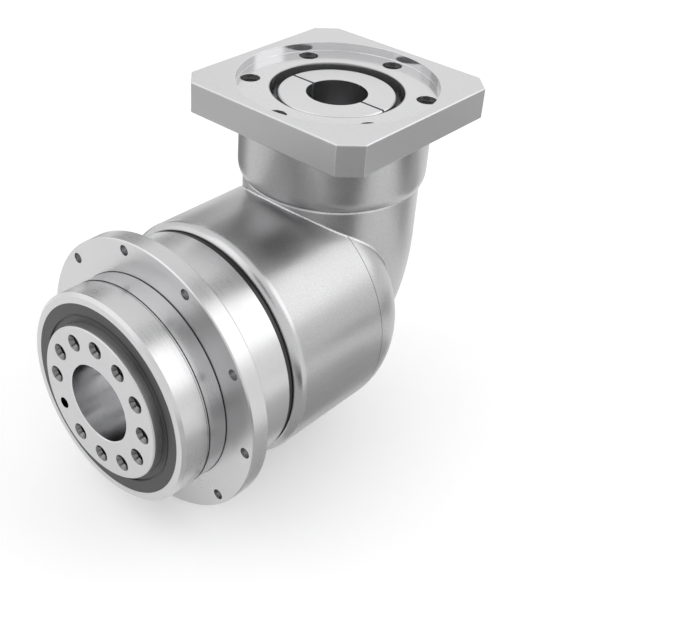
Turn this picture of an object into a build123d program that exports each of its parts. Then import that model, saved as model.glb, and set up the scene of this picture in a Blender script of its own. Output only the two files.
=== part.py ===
from build123d import *
import math
import os

os.makedirs("parts", exist_ok=True)

# Right-angle planetary gearbox, in millimetres.
# The origin is the centre of the housing flange's mounting face, on the output axis.
# The output axis runs along Y and the output faces -Y. The input axis is vertical and faces +Z.

# Main layout
axis_offset = 132.0
output_face_y = -31.0
register_front_y = -26.6
plate_top_z = 118.0
barrel_front_y = 41.0
output_housing_end_y = 35.5

# Clearances and fits
running_gap = 0.05
rolling_gap = 0.06
seat_gap = 0.3
face_gap = 0.3
mesh_gap = 0.07

# Output flange
flange_hub_r = 40.0
flange_edge_chamfer = 0.6
centring_bore_r = 20.0
centring_bore_depth = 12.0
inner_bore_r = 18.5
inner_bore_end_y = -5.0
output_circle_r = 31.5
output_hole_count = 12
output_thread_r = 3.0
output_mouth_r = 3.45
output_mouth_depth = 0.45
output_thread_depth = 12.0
dowel_hole_r = 3.0
dowel_hole_depth = 9.0
dowel_place = 8

# Housing flange and register
register_r = 55.0
register_chamfer = 1.6
register_groove_y = -11.0
register_groove_width = 1.2
register_groove_depth = 0.35
housing_flange_r = 72.5
housing_flange_thickness = 10.0
housing_flange_chamfer = 0.6
mounting_circle_r = 67.5
mounting_hole_count = 10
mounting_hole_r = 2.75
mounting_first_angle = 24.0
rear_body_r = 62.0
rear_seam_y = 17.0
rear_seam_size = 0.3
spigot_r = 57.5
spigot_end_y = 47.0
sealing_ring_r = 61.3

# Helical planetary set
planet_count = 3
sun_teeth = 9
planet_teeth = 27
ring_teeth = sun_teeth + 2 * planet_teeth
planetary_module = 1.44
planetary_pressure_angle = 20.0
helix_angle = 15.0
planetary_shift = 0.35
tip_clearance = 0.25
ring_addendum = 1.0
planet_front_y = 2.0
planet_width = 22.0
ring_relief_r = 46.9
ring_relief = 2.0
planet_bore_r = 11.1
planet_pin_r = 8.0
planet_rim_chamfer = 0.8
needle_r = 1.5
needle_count = 16
washer_thickness = 0.7
washer_r = 13.0
sun_front_y = 1.7
sun_length = 23.3

# Carrier behind the output flange
carrier_disc_r = 43.0
carrier_front_wall_y = 1.2
carrier_rear_wall_y = 24.8
carrier_rear_shoulder_y = 29.0
carrier_thread_r = 39.2
carrier_thread_end_y = 44.0
carrier_rear_bore_r = 14.0
pillar_width = 11.3
pillar_inner_r = 27.0
planet_room = 1.0
pin_front_y = -3.0
pin_rear_y = 32.0

# Main bearing pair
main_bore_r = 40.0
main_outer_r = 50.0
main_width = 10.0
main_front_y = -12.0
main_roller_count = 30
main_roller_r = 2.3
main_roller_length = 6.6
main_contact_angle = 12.0

# Output shaft seal
output_seal_rear_y = -12.5
output_seal_lip_r = 43.2
output_seal_lip_step = 0.5

# Carrier locknut
carrier_nut_r = 46.0
carrier_nut_width = 4.5
nut_notch_count = 4

# Sun line: bevel journal, bearings, sleeve
journal_r = 27.5
sun_bearing_outer_r = 40.0
sun_bearing_width = 17.0
sun_bearing_front_y = 52.5
sun_roller_count = 20
sun_roller_r = 3.2
sun_roller_length = 11.0
sun_contact_angle = 14.0
sun_sleeve_r = 48.0
sun_sleeve_lip_r = 36.5
sun_sleeve_lip = 2.0
sun_sleeve_seam = 0.5
sleeve_port_r = 1.0
journal_front_y = 46.5
sun_nut_r = 34.0
sun_nut_width = 5.0
sleeve_ring_width = 2.0
sleeve_ring_r = 50.0
sleeve_ring_inner_r = 43.5
sun_shaft_neck_r = 8.6
sun_shaft_fit_r = 12.0
sun_shaft_fit_front_y = 50.0
sun_shaft_rear_y = 98.0

# Spiral bevel pair
pinion_teeth = 16
bevel_gear_teeth = 32
bevel_module = 1.9375
bevel_face_width = 10.0
bevel_pressure_angle = 20.0
spiral_angle = 32.0
pinion_addendum = 1.08
gear_addendum = 0.62
bevel_clearance = 0.22
pinion_shift = 0.25
bevel_backlash = 0.16
gear_back_y = 106.0
gear_hub_r = 30.5
gear_shoulder_y = 88.0
gear_front_bore_r = 9.0

# Input line
hub_r = 30.4
hub_top_z = 111.2
hub_bottom_z = 97.5
motor_bore_r = 16.0
motor_bore_end_z = 66.0
hub_slit_width = 1.5
hub_slit_end_z = 99.5
clamp_screw_offset = 23.0
clamp_screw_z = 105.8
clamp_screw_r = 2.5
clamp_head_r = 4.25
clamp_head_length = 5.0
clamp_seat_y = 12.0
clamp_screw_length = 22.0
hub_neck_r = 22.0
input_journal_r = 20.0
input_bearing_outer_r = 31.0
input_bearing_width = 12.0
input_bearing_bottom_z = 68.0
input_ball_r = 3.4
input_ball_count = 12
input_nut_r = 24.0
input_nut_width = 6.5
input_nut_gap = 0.5
pinion_stem_r = 10.8
pinion_stem_top_z = 58.0
input_sleeve_r = 36.0
input_sleeve_lip_r = 28.5
input_sleeve_lip = 2.0
input_sleeve_flange_r = 41.0
input_sleeve_flange_z = 90.5
input_sleeve_flange_thickness = 3.5
input_seal_bottom_z = 92.6
input_seal_top_z = 96.8
sleeve_screw_circle_r = 38.0
sleeve_screw_count = 6
sleeve_screw_r = 1.5
sleeve_screw_head_r = 2.75
sleeve_screw_head = 3.0
sleeve_screw_length = 8.0

# Adapter plate
plate_side = 115.0
plate_corner = 9.8
plate_thickness = 16.6
plate_edge_chamfer = 0.5
pilot_recess_r = 52.2
pilot_recess_depth = 4.8
plate_bore_r = 34.7
plate_lip_r = 41.0
plate_lip = 2.0
adapter_circle_r = 45.9
adapter_screw_count = 6
adapter_first_angle = 30.0
adapter_counterbore_r = 5.3
adapter_counterbore_depth = 8.4
adapter_screw_r = 2.5
adapter_head_r = 4.25
adapter_head = 5.0
adapter_screw_length = 20.0
access_x = -23.0
access_hole_r = 3.5
access_cap_r = 5.5
access_cap = 1.6
access_plug_length = 6.0

# Elbow housing
barrel_r = 65.0
barrel_lip_radius = 3.0
shoulder_start_y = 103.0
shoulder_radius = 32.0
neck_band_r = 50.0
neck_band_bottom_z = 74.0
neck_step_z = 67.5
neck_step_r = 47.9
neck_r = 47.2
neck_groove = 0.6
neck_end_start_z = 34.0
neck_end_length = 92.0
neck_pocket_r = 41.3
neck_throat_r = 33.0
cavity_r = 43.5
cavity_end_y = 124.0
neck_cavity_bottom_z = -8.0

# Derived places
centre_distance = planetary_module * (sun_teeth + planet_teeth) / 2
planet_middle_y = planet_front_y + planet_width / 2
plate_bottom_z = plate_top_z - plate_thickness
recess_floor_z = plate_top_z - pilot_recess_depth
input_bearing_top_z = input_bearing_bottom_z + 2 * input_bearing_width
main_rear_y = carrier_rear_shoulder_y
carrier_nut_front_y = main_rear_y + main_width + 0.1
sun_bearing_middle_y = sun_bearing_front_y + sun_bearing_width
sun_bearing_end_y = sun_bearing_middle_y + sun_bearing_width
cartridge_end_y = gear_shoulder_y
housing_bore_end_y = spigot_end_y + face_gap

# The output line is drawn about local Z and laid along +Y; the input line only moves to its axis.
along_output = Rot(X=-90)
on_input = Pos(0, axis_offset, 0)


def turned(points):
    """A solid of revolution about local Z from (radius, station) points."""
    outline = Polyline(*[(radius, 0, station) for radius, station in points], close=True)
    return revolve(make_face(outline.edges()), axis=Axis.Z)


def output_turned(points):
    return along_output * turned(points)


def input_turned(points):
    return on_input * turned(points)


def cylinder_z(radius, bottom, top, x=0.0, y=0.0):
    return Pos(x, y, (bottom + top) / 2) * Cylinder(radius, top - bottom)


def on_circle(radius, count, first_angle):
    """Local (x, y) of each place on a circle about local Z."""
    places = []
    for index in range(count):
        angle = math.radians(first_angle + 360.0 * index / count)
        places.append((radius * math.cos(angle), radius * math.sin(angle)))
    return places


def all_of(shapes):
    return Compound(children=[solid for shape in shapes for solid in shape.solids()])


def write(name, shape):
    solids = shape.solids()
    body = solids[0] if len(solids) == 1 else Compound(children=list(solids))
    export_step(body, f"parts/{name}.step")


def socket_screw(radius, length, head_radius, head_length, socket_radius):
    """A socket-head screw along local Z: the head stands above 0 and the shank goes down."""
    shank = cylinder_z(radius, -length, 0)
    head = cylinder_z(head_radius, 0, head_length)
    socket = extrude(Pos(0, 0, head_length) * RegularPolygon(socket_radius, 6), -head_length * 0.5)
    return shank + head - socket


# Involute gears

def involute(angle):
    return math.tan(angle) - angle


def spur_outline(teeth, module, pressure_angle, thickness, tip_r, root_r, first_angle):
    """A closed outline of involute teeth in the XY plane, with one tooth centred at first_angle."""
    pitch_r = module * teeth / 2
    base_r = pitch_r * math.cos(pressure_angle)
    start_r = max(base_r * 1.0005, root_r)
    steps = 4
    edges = []

    def at(radius, angle):
        return Vector(radius * math.cos(angle), radius * math.sin(angle), 0)

    def half_angle(radius):
        slope = math.acos(min(1.0, base_r / radius))
        return thickness / (2 * pitch_r) + involute(pressure_angle) - involute(slope)

    pitch_angle = 2 * math.pi / teeth
    radii = [start_r + (tip_r - start_r) * k / steps for k in range(steps + 1)]
    for index in range(teeth):
        middle = math.radians(first_angle) + index * pitch_angle
        rise = [at(radius, middle - half_angle(radius)) for radius in radii]
        fall = [at(radius, middle + half_angle(radius)) for radius in reversed(radii)]
        next_foot = at(root_r, middle + pitch_angle - half_angle(start_r))
        foot = at(root_r, middle + half_angle(start_r))
        valley = at(root_r, middle + pitch_angle / 2)
        if start_r > root_r + 1e-6:
            edges.append(Line(at(root_r, middle - half_angle(start_r)), rise[0]))
        edges.append(Spline(*rise))
        edges.append(ThreePointArc(rise[-1], at(tip_r, middle), fall[0]))
        edges.append(Spline(*fall))
        if start_r > root_r + 1e-6:
            edges.append(Line(fall[-1], foot))
        edges.append(ThreePointArc(foot, valley, next_foot))
    return make_face([edge for line in edges for edge in line.edges()]).faces()[0]


def helical_solid(face, front, back, turn):
    """The outline at local z = front, carried to z = back while it turns by so many degrees."""
    start = Pos(0, 0, front) * face
    return Solid.extrude_linear_with_rotation(start.faces()[0], (0, 0, front), (0, 0, back - front), turn)


transverse_angle = math.atan(math.tan(math.radians(planetary_pressure_angle)) / math.cos(math.radians(helix_angle)))
half_pitch = math.pi * planetary_module / 2
shift_width = 2 * planetary_shift * planetary_module * math.tan(transverse_angle)
sun_pitch_r = planetary_module * sun_teeth / 2
planet_pitch_r = planetary_module * planet_teeth / 2
ring_pitch_r = planetary_module * ring_teeth / 2
sun_tip_r = sun_pitch_r + (1 + planetary_shift) * planetary_module
sun_root_r = sun_pitch_r - (1 + tip_clearance - planetary_shift) * planetary_module
planet_tip_r = planet_pitch_r + (1 - planetary_shift) * planetary_module
planet_root_r = planet_pitch_r - (1 + tip_clearance + planetary_shift) * planetary_module
ring_tip_r = ring_pitch_r - ring_addendum * planetary_module
ring_root_r = ring_pitch_r + (1 - planetary_shift + tip_clearance) * planetary_module


def twist(pitch_radius, length):
    """Degrees that a helical gear turns over a length."""
    return math.degrees(length * math.tan(math.radians(helix_angle)) / pitch_radius)


def helical_gear(teeth, thickness, tip_r, root_r, tooth_angle, front, length, hand):
    """A helical gear about local Z whose tooth is centred at tooth_angle in the set's middle plane."""
    pitch_radius = planetary_module * teeth / 2
    first = tooth_angle + hand * twist(pitch_radius, front - planet_middle_y)
    outline = spur_outline(teeth, planetary_module, transverse_angle, thickness, tip_r, root_r, first)
    return helical_solid(outline, front, front + length, hand * twist(pitch_radius, length))


planet_angles = [-90.0 + 360.0 * k / planet_count for k in range(planet_count)]
planet_places = [
    (centre_distance * math.cos(math.radians(a)), centre_distance * math.sin(math.radians(a)))
    for a in planet_angles
]


# Bearings

def roller_bearing(bore_r, outer_r, width, count, roller_r, length, contact_angle):
    """Inner ring, outer ring, rollers and cage of a tapered roller bearing about local Z.

    It fills z = 0 to width, and its raceways narrow towards +Z. All the tapers meet in one point.
    """
    slope = math.radians(contact_angle)
    middle_r = (bore_r + outer_r) / 2
    middle_z = width / 2
    apex_z = middle_z + middle_r / math.tan(slope)
    reach = middle_r / math.sin(slope)
    half_taper = math.asin(roller_r / reach)

    def raceway(z, angle, gap):
        return (apex_z - z) * math.tan(angle) + gap

    rib = 1.4
    low = middle_z - length / 2 * math.cos(slope)
    high = middle_z + length / 2 * math.cos(slope)
    inner_low = raceway(0, slope - half_taper, -rolling_gap)
    inner_high = raceway(width, slope - half_taper, -rolling_gap)
    big_r = roller_r * (reach + length / 2) / reach
    small_r = roller_r * (reach - length / 2) / reach
    rib_z = low - big_r * math.sin(slope) - rolling_gap
    inner = turned([(bore_r, 0), (inner_low, 0), (inner_high, width), (bore_r, width)])
    inner = inner + turned([(bore_r, 0), (inner_low + rib, 0), (inner_low + rib, rib_z), (bore_r, rib_z)])
    outer_low = raceway(0, slope + half_taper, rolling_gap)
    outer_high = raceway(width, slope + half_taper, rolling_gap)
    outer = turned([(outer_low, 0), (outer_r, 0), (outer_r, width), (outer_high, width)])

    roller = Cone(big_r, small_r, length)
    tilt = Pos(middle_r, 0, middle_z) * Rot(Y=-contact_angle)
    rollers = [Rot(Z=360.0 * k / count) * tilt * roller for k in range(count)]

    sheet = 0.9
    cage_low = low + 0.5
    cage_high = high + 0.9
    cage = turned([
        (raceway(cage_low, slope, 0) - sheet / 2, cage_low - 1.2),
        (raceway(cage_low, slope, 0) + sheet / 2, cage_low - 1.2),
        (raceway(cage_high, slope, 0) + sheet / 2, cage_high),
        (raceway(cage_high, slope, 0) - sheet / 2, cage_high),
    ])
    room = 0.16
    pocket = Cone(big_r + room, small_r + room, length + 2 * room)
    pockets = [Rot(Z=360.0 * k / count) * tilt * pocket for k in range(count)]
    cage = cage - pockets
    return inner, outer, all_of(rollers), cage


def ball_bearing(bore_r, outer_r, width, count, ball_r):
    """Inner ring, outer ring, balls and cage of a deep-groove ball bearing about local Z."""
    middle_r = (bore_r + outer_r) / 2
    middle_z = width / 2
    shoulder = ball_r * 0.45
    groove = Pos(0, 0, middle_z) * Torus(middle_r, ball_r + rolling_gap)
    inner = turned([(bore_r, 0), (middle_r - shoulder, 0), (middle_r - shoulder, width), (bore_r, width)]) - groove
    outer = turned([(middle_r + shoulder, 0), (outer_r, 0), (outer_r, width), (middle_r + shoulder, width)]) - groove
    places = on_circle(middle_r, count, 0)
    balls = [Pos(x, y, middle_z) * Sphere(ball_r) for x, y in places]
    half = ball_r * 0.32
    depth = ball_r * 0.8
    cage = turned([
        (middle_r - half, middle_z - depth),
        (middle_r + half, middle_z - depth),
        (middle_r + half, middle_z + depth),
        (middle_r - half, middle_z + depth),
    ])
    cage = cage - [Pos(x, y, middle_z) * Sphere(ball_r + 0.2) for x, y in places]
    return inner, outer, all_of(balls), cage


def locknut(thread_r, outer_r, width):
    """A round nut about local Z from z = 0, with spanner notches in its rim."""
    ring = cylinder_z(outer_r, 0, width) - cylinder_z(thread_r, -1, width + 1)
    notch_depth = (outer_r - thread_r) * 0.4
    notches = []
    for x, y in on_circle(outer_r, nut_notch_count, 45):
        turn = math.degrees(math.atan2(y, x))
        notches.append(Pos(x, y, width / 2) * Rot(Z=turn) * Box(2 * notch_depth, 4.0, width + 1))
    return ring - notches


# Output housing: register and mounting flange in one piece
ring_gear_front_y = main_front_y + main_width
groove_half = register_groove_width / 2
housing = output_turned([
    (main_outer_r, register_front_y),
    (register_r - register_chamfer, register_front_y),
    (register_r, register_front_y + register_chamfer),
    (register_r, register_groove_y - groove_half),
    (register_r - register_groove_depth, register_groove_y - groove_half),
    (register_r - register_groove_depth, register_groove_y + groove_half),
    (register_r, register_groove_y + groove_half),
    (register_r, 0),
    (housing_flange_r - housing_flange_chamfer, 0),
    (housing_flange_r, housing_flange_chamfer),
    (housing_flange_r, housing_flange_thickness - housing_flange_chamfer),
    (housing_flange_r - housing_flange_chamfer, housing_flange_thickness),
    (rear_body_r, housing_flange_thickness),
    (rear_body_r, rear_seam_y - rear_seam_size),
    (rear_body_r - rear_seam_size, rear_seam_y),
    (main_outer_r, rear_seam_y),
])
mounting_holes = [
    cylinder_z(mounting_hole_r, -1, housing_flange_thickness + 1, x, y)
    for x, y in on_circle(mounting_circle_r, mounting_hole_count, mounting_first_angle - 90)
]
housing = housing - [along_output * hole for hole in mounting_holes]
write("output_housing", housing)

# Rear ring with the spigot that enters the elbow
rear_ring = output_turned([
    (main_outer_r, rear_seam_y),
    (rear_body_r - rear_seam_size, rear_seam_y),
    (rear_body_r, rear_seam_y + rear_seam_size),
    (rear_body_r, output_housing_end_y),
    (spigot_r, output_housing_end_y),
    (spigot_r, spigot_end_y),
    (main_outer_r, spigot_end_y),
])
write("rear_housing_ring", rear_ring)

# Ring gear, a sleeve between the main bearings with helical teeth inside
ring_blank = turned([
    (ring_relief_r, ring_gear_front_y),
    (main_outer_r, ring_gear_front_y),
    (main_outer_r, main_rear_y),
    (ring_relief_r, main_rear_y),
    (ring_relief_r, main_rear_y - ring_relief),
    (ring_tip_r - 2, main_rear_y - ring_relief),
    (ring_tip_r - 2, ring_gear_front_y + ring_relief),
    (ring_relief_r, ring_gear_front_y + ring_relief),
])
ring_space = half_pitch - shift_width + 2 * mesh_gap
ring_cavity = helical_gear(
    ring_teeth,
    ring_space,
    ring_root_r,
    ring_tip_r,
    planet_angles[0],
    ring_gear_front_y + ring_relief - 0.5,
    main_rear_y - ring_gear_front_y - 2 * ring_relief + 1,
    -1,
)
write("ring_gear", along_output * (ring_blank - ring_cavity))

# Output carrier: flange, front wall, three pillars and rear wall in one piece
carrier = turned([
    (centring_bore_r, output_face_y),
    (flange_hub_r - flange_edge_chamfer, output_face_y),
    (flange_hub_r, output_face_y + flange_edge_chamfer),
    (flange_hub_r, main_front_y + main_width),
    (carrier_disc_r, main_front_y + main_width),
    (carrier_disc_r, carrier_front_wall_y),
    (0, carrier_front_wall_y),
    (0, inner_bore_end_y),
    (inner_bore_r, inner_bore_end_y),
    (inner_bore_r, output_face_y + centring_bore_depth),
    (centring_bore_r, output_face_y + centring_bore_depth),
])
rear_wall = turned([
    (carrier_rear_bore_r, carrier_rear_wall_y),
    (carrier_disc_r, carrier_rear_wall_y),
    (carrier_disc_r, carrier_rear_shoulder_y),
    (main_bore_r, carrier_rear_shoulder_y),
    (main_bore_r, main_rear_y + main_width),
    (carrier_thread_r, main_rear_y + main_width),
    (carrier_thread_r, carrier_thread_end_y),
    (carrier_rear_bore_r, carrier_thread_end_y),
])
pillar_length = carrier_rear_wall_y - carrier_front_wall_y
pillar_reach = carrier_disc_r - pillar_inner_r
pillar_block = Pos(
    pillar_inner_r + pillar_reach / 2, 0, carrier_front_wall_y + pillar_length / 2
) * Box(pillar_reach + 2, pillar_width, pillar_length + 1)
round_trim = cylinder_z(carrier_disc_r, carrier_front_wall_y - 1, carrier_rear_wall_y + 1)
pillars = [
    Rot(Z=angle + 180.0 / planet_count) * pillar_block & round_trim
    for angle in planet_angles
]
planet_rooms = [
    cylinder_z(planet_tip_r + planet_room, carrier_front_wall_y, carrier_rear_wall_y, x, y)
    for x, y in planet_places
]
carrier = carrier + rear_wall + pillars - planet_rooms
pin_holes = [cylinder_z(planet_pin_r, pin_front_y, pin_rear_y, x, y) for x, y in planet_places]
rear_openings = [
    cylinder_z(planet_pin_r, pin_rear_y - 1, carrier_thread_end_y + 1, x, y) for x, y in planet_places
]
carrier = carrier - pin_holes - rear_openings
output_places = on_circle(output_circle_r, output_hole_count, -90)
dowel_x, dowel_y = output_places[dowel_place]
threaded_places = [place for k, place in enumerate(output_places) if k != dowel_place]
thread_holes = [
    cylinder_z(output_thread_r, output_face_y - 1, output_face_y + output_thread_depth, x, y)
    for x, y in threaded_places
]
mouths = [
    Pos(x, y, output_face_y + output_mouth_depth / 2)
    * Cone(output_mouth_r, output_thread_r, output_mouth_depth)
    for x, y in threaded_places
]
dowel_hole = cylinder_z(dowel_hole_r, output_face_y - 1, output_face_y + dowel_hole_depth, dowel_x, dowel_y)
carrier = carrier - thread_holes - mouths - dowel_hole
write("output_carrier", along_output * carrier)

# Planets with pins, needles and washers
planet_thickness = half_pitch - shift_width - mesh_gap
washer_front_y = planet_front_y - washer_thickness
washers = []
for index, (x, y) in enumerate(planet_places):
    tooth_out = planet_angles[index]
    gear = helical_gear(
        planet_teeth, planet_thickness, planet_tip_r, planet_root_r, tooth_out, planet_front_y, planet_width, -1
    )
    gear = gear - cylinder_z(planet_bore_r, planet_front_y - 1, planet_front_y + planet_width + 1)
    write(f"planet_gear_{index + 1}", along_output * Pos(x, y, 0) * gear)
    needle_circle = planet_pin_r + needle_r + rolling_gap / 2 + 0.01
    needles = [
        cylinder_z(needle_r, planet_front_y + 0.6, planet_front_y + planet_width - 0.6, nx, ny)
        for nx, ny in on_circle(needle_circle, needle_count, tooth_out)
    ]
    write(f"planet_needles_{index + 1}", along_output * Pos(x, y, 0) * all_of(needles))
    ring = cylinder_z(washer_r, 0, washer_thickness) - cylinder_z(planet_pin_r, -1, washer_thickness + 1)
    washers.append(Pos(x, y, carrier_front_wall_y) * ring)
    washers.append(Pos(x, y, carrier_rear_wall_y - washer_thickness) * ring)
pins = [cylinder_z(planet_pin_r, pin_front_y, pin_rear_y, x, y) for x, y in planet_places]
write("planet_pins", along_output * all_of(pins))
write("planet_washers", along_output * all_of(washers))

# Main bearing pair, mirrored about the planets
inner, outer, rollers, cage = roller_bearing(
    main_bore_r, main_outer_r, main_width, main_roller_count, main_roller_r, main_roller_length, main_contact_angle
)
front_place = along_output * Pos(0, 0, main_front_y)
rear_place = along_output * Pos(0, 0, main_rear_y + main_width) * Rot(X=180)
for side, place in (("front", front_place), ("rear", rear_place)):
    write(f"main_bearing_{side}_inner", place * inner)
    write(f"main_bearing_{side}_outer", place * outer)
    write(f"main_bearing_{side}_rollers", place * rollers)
    write(f"main_bearing_{side}_cage", place * cage)

# Output shaft seal
seal = output_turned([
    (flange_hub_r + running_gap, register_front_y + output_seal_lip_step),
    (output_seal_lip_r, register_front_y + output_seal_lip_step),
    (output_seal_lip_r, register_front_y + 0.1),
    (main_outer_r, register_front_y + 0.1),
    (main_outer_r, output_seal_rear_y),
    (flange_hub_r + 3, output_seal_rear_y),
    (flange_hub_r + 3, register_front_y + 5),
    (flange_hub_r + running_gap, register_front_y + 4),
])
write("output_seal", seal)

# Carrier locknut
carrier_nut = locknut(carrier_thread_r, carrier_nut_r, carrier_nut_width)
write("carrier_locknut", along_output * Pos(0, 0, carrier_nut_front_y) * carrier_nut)

# Sealing ring between the housings
sealing_ring = output_turned([
    (spigot_r, output_housing_end_y),
    (sealing_ring_r, output_housing_end_y),
    (sealing_ring_r, barrel_front_y),
    (spigot_r, barrel_front_y),
])
write("housing_sealing_ring", sealing_ring)

# Sun bearings in their sleeve
inner, outer, rollers, cage = roller_bearing(
    journal_r,
    sun_bearing_outer_r,
    sun_bearing_width,
    sun_roller_count,
    sun_roller_r,
    sun_roller_length,
    sun_contact_angle,
)
front_place = along_output * Pos(0, 0, sun_bearing_front_y)
rear_place = along_output * Pos(0, 0, sun_bearing_end_y) * Rot(X=180)
for side, place in (("front", front_place), ("rear", rear_place)):
    write(f"sun_bearing_{side}_inner", place * inner)
    write(f"sun_bearing_{side}_outer", place * outer)
    write(f"sun_bearing_{side}_rollers", place * rollers)
    write(f"sun_bearing_{side}_cage", place * cage)
sleeve = output_turned([
    (sun_bearing_outer_r, sun_bearing_front_y),
    (sun_sleeve_r, sun_bearing_front_y),
    (sun_sleeve_r, sun_bearing_middle_y - sun_sleeve_seam),
    (sun_sleeve_r - sun_sleeve_seam, sun_bearing_middle_y),
    (sun_sleeve_r, sun_bearing_middle_y + sun_sleeve_seam),
    (sun_sleeve_r, cartridge_end_y),
    (sun_sleeve_lip_r, cartridge_end_y),
    (sun_sleeve_lip_r, sun_bearing_end_y),
    (sun_bearing_outer_r, sun_bearing_end_y),
])
ports = [
    along_output * Pos(0, 0, sun_bearing_middle_y) * Rot(Z=angle) * Rot(Y=90)
    * cylinder_z(sleeve_port_r, sun_bearing_outer_r - 1, sun_sleeve_r + 1)
    for angle in (0, 90, 180, 270)
]
write("sun_bearing_sleeve", sleeve - ports)
sleeve_ring = output_turned([
    (sleeve_ring_inner_r, sun_bearing_front_y - sleeve_ring_width),
    (sleeve_ring_r, sun_bearing_front_y - sleeve_ring_width),
    (sleeve_ring_r, sun_bearing_front_y),
    (sleeve_ring_inner_r, sun_bearing_front_y),
])
ring_opening = along_output * Pos(0, sleeve_ring_r, sun_bearing_front_y) * Box(9, 30, 9)
write("sleeve_retaining_ring", sleeve_ring - ring_opening)
sun_nut = locknut(journal_r, sun_nut_r, sun_nut_width)
write("sun_locknut", along_output * Pos(0, 0, sun_bearing_front_y - sun_nut_width) * sun_nut)

# Sun shaft: the sun's teeth in front, a plain neck, and a fit in the bevel gear's journal
sun_thickness = half_pitch + shift_width - mesh_gap
sun = helical_gear(
    sun_teeth, sun_thickness, sun_tip_r, sun_root_r, planet_angles[0], sun_front_y, sun_length, 1
)
sun_end_y = sun_front_y + sun_length
shaft = turned([
    (0, sun_end_y),
    (sun_shaft_neck_r, sun_end_y),
    (sun_shaft_neck_r, sun_shaft_fit_front_y),
    (sun_shaft_fit_r, sun_shaft_fit_front_y),
    (sun_shaft_fit_r, sun_shaft_rear_y),
    (0, sun_shaft_rear_y),
])
write("sun_shaft", along_output * (shaft + sun))


# Spiral bevel pair, whose axes meet at the apex

pinion_cone = math.atan2(pinion_teeth, bevel_gear_teeth)
gear_cone = math.pi / 2 - pinion_cone
outer_cone_distance = bevel_module * pinion_teeth / 2 / math.sin(pinion_cone)
inner_cone_distance = outer_cone_distance - bevel_face_width
mean_cone_distance = outer_cone_distance - bevel_face_width / 2
bevel_pressure = math.radians(bevel_pressure_angle)
bevel_half_pitch = math.pi * bevel_module / 2
bevel_shift_width = 2 * pinion_shift * bevel_module * math.tan(bevel_pressure)


def bevel_tooth(teeth, cone, thickness, addendum, dedendum, turn_per_log, sections=5):
    """One bevel tooth about local Z with the apex at the origin, centred on +X at mid-face.

    Each section lies square to the pitch cone and is an involute of the equivalent spur gear.
    The sections shrink towards the apex and turn about the axis to give the spiral.
    """
    wires = []
    for k in range(sections):
        distance = inner_cone_distance - 0.4 + (bevel_face_width + 0.8) * k / (sections - 1)
        scale = distance / outer_cone_distance
        virtual_r = distance * math.tan(cone)
        base_r = virtual_r * math.cos(bevel_pressure)
        tip_r = virtual_r + addendum * bevel_module * scale
        root_r = virtual_r - (dedendum * bevel_module + 0.35) * scale
        start_r = max(base_r * 1.0005, root_r)

        def half_angle(radius):
            slope = math.acos(min(1.0, base_r / radius))
            return thickness * scale / (2 * virtual_r) + involute(bevel_pressure) - involute(slope)

        outward = Vector(math.cos(cone), 0, -math.sin(cone))
        across = Vector(0, 1, 0)
        pitch_point = Vector(math.sin(cone), 0, math.cos(cone)) * distance
        centre = pitch_point - outward * virtual_r

        def place(radius, angle):
            return centre + outward * (radius * math.cos(angle)) + across * (radius * math.sin(angle))

        radii = [start_r + (tip_r - start_r) * j / 4 for j in range(5)]
        rise = [place(radius, -half_angle(radius)) for radius in radii]
        fall = [place(radius, half_angle(radius)) for radius in reversed(radii)]
        lines = []
        foot_angle = half_angle(start_r)
        if start_r > root_r + 1e-6:
            lines.append(Line(place(root_r, -foot_angle), rise[0]))
        lines.append(Spline(*rise))
        lines.append(Line(rise[-1], fall[0]))
        lines.append(Spline(*fall))
        if start_r > root_r + 1e-6:
            lines.append(Line(fall[-1], place(root_r, foot_angle)))
        lines.append(Line(place(root_r, foot_angle), place(root_r, -foot_angle)))
        turn = math.degrees(turn_per_log * math.log(distance / mean_cone_distance))
        face = make_face([edge for line in lines for edge in line.edges()])
        wires.append((Rot(Z=turn) * face).faces()[0])
    return loft(wires)


def bevel_blank(cone, addendum, dedendum, hub_points):
    """The body under the teeth about local Z with the apex at the origin, and its outer trim."""
    back = Vector(math.cos(cone), 0, -math.sin(cone))

    def at(distance, height):
        scale = distance / outer_cone_distance
        point = Vector(math.sin(cone), 0, math.cos(cone)) * distance + back * (height * bevel_module * scale)
        return (point.X, point.Z)

    body = turned([at(inner_cone_distance, -dedendum), at(outer_cone_distance, -dedendum)] + hub_points)
    trim = turned([
        at(inner_cone_distance, -dedendum - 0.8),
        at(inner_cone_distance, addendum),
        at(outer_cone_distance, addendum),
        at(outer_cone_distance, -dedendum - 0.8),
    ])
    return body, trim


spiral_turn = math.tan(math.radians(spiral_angle)) / math.sin(pinion_cone)
pinion_dedendum = gear_addendum + bevel_clearance
gear_dedendum = pinion_addendum + bevel_clearance

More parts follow.
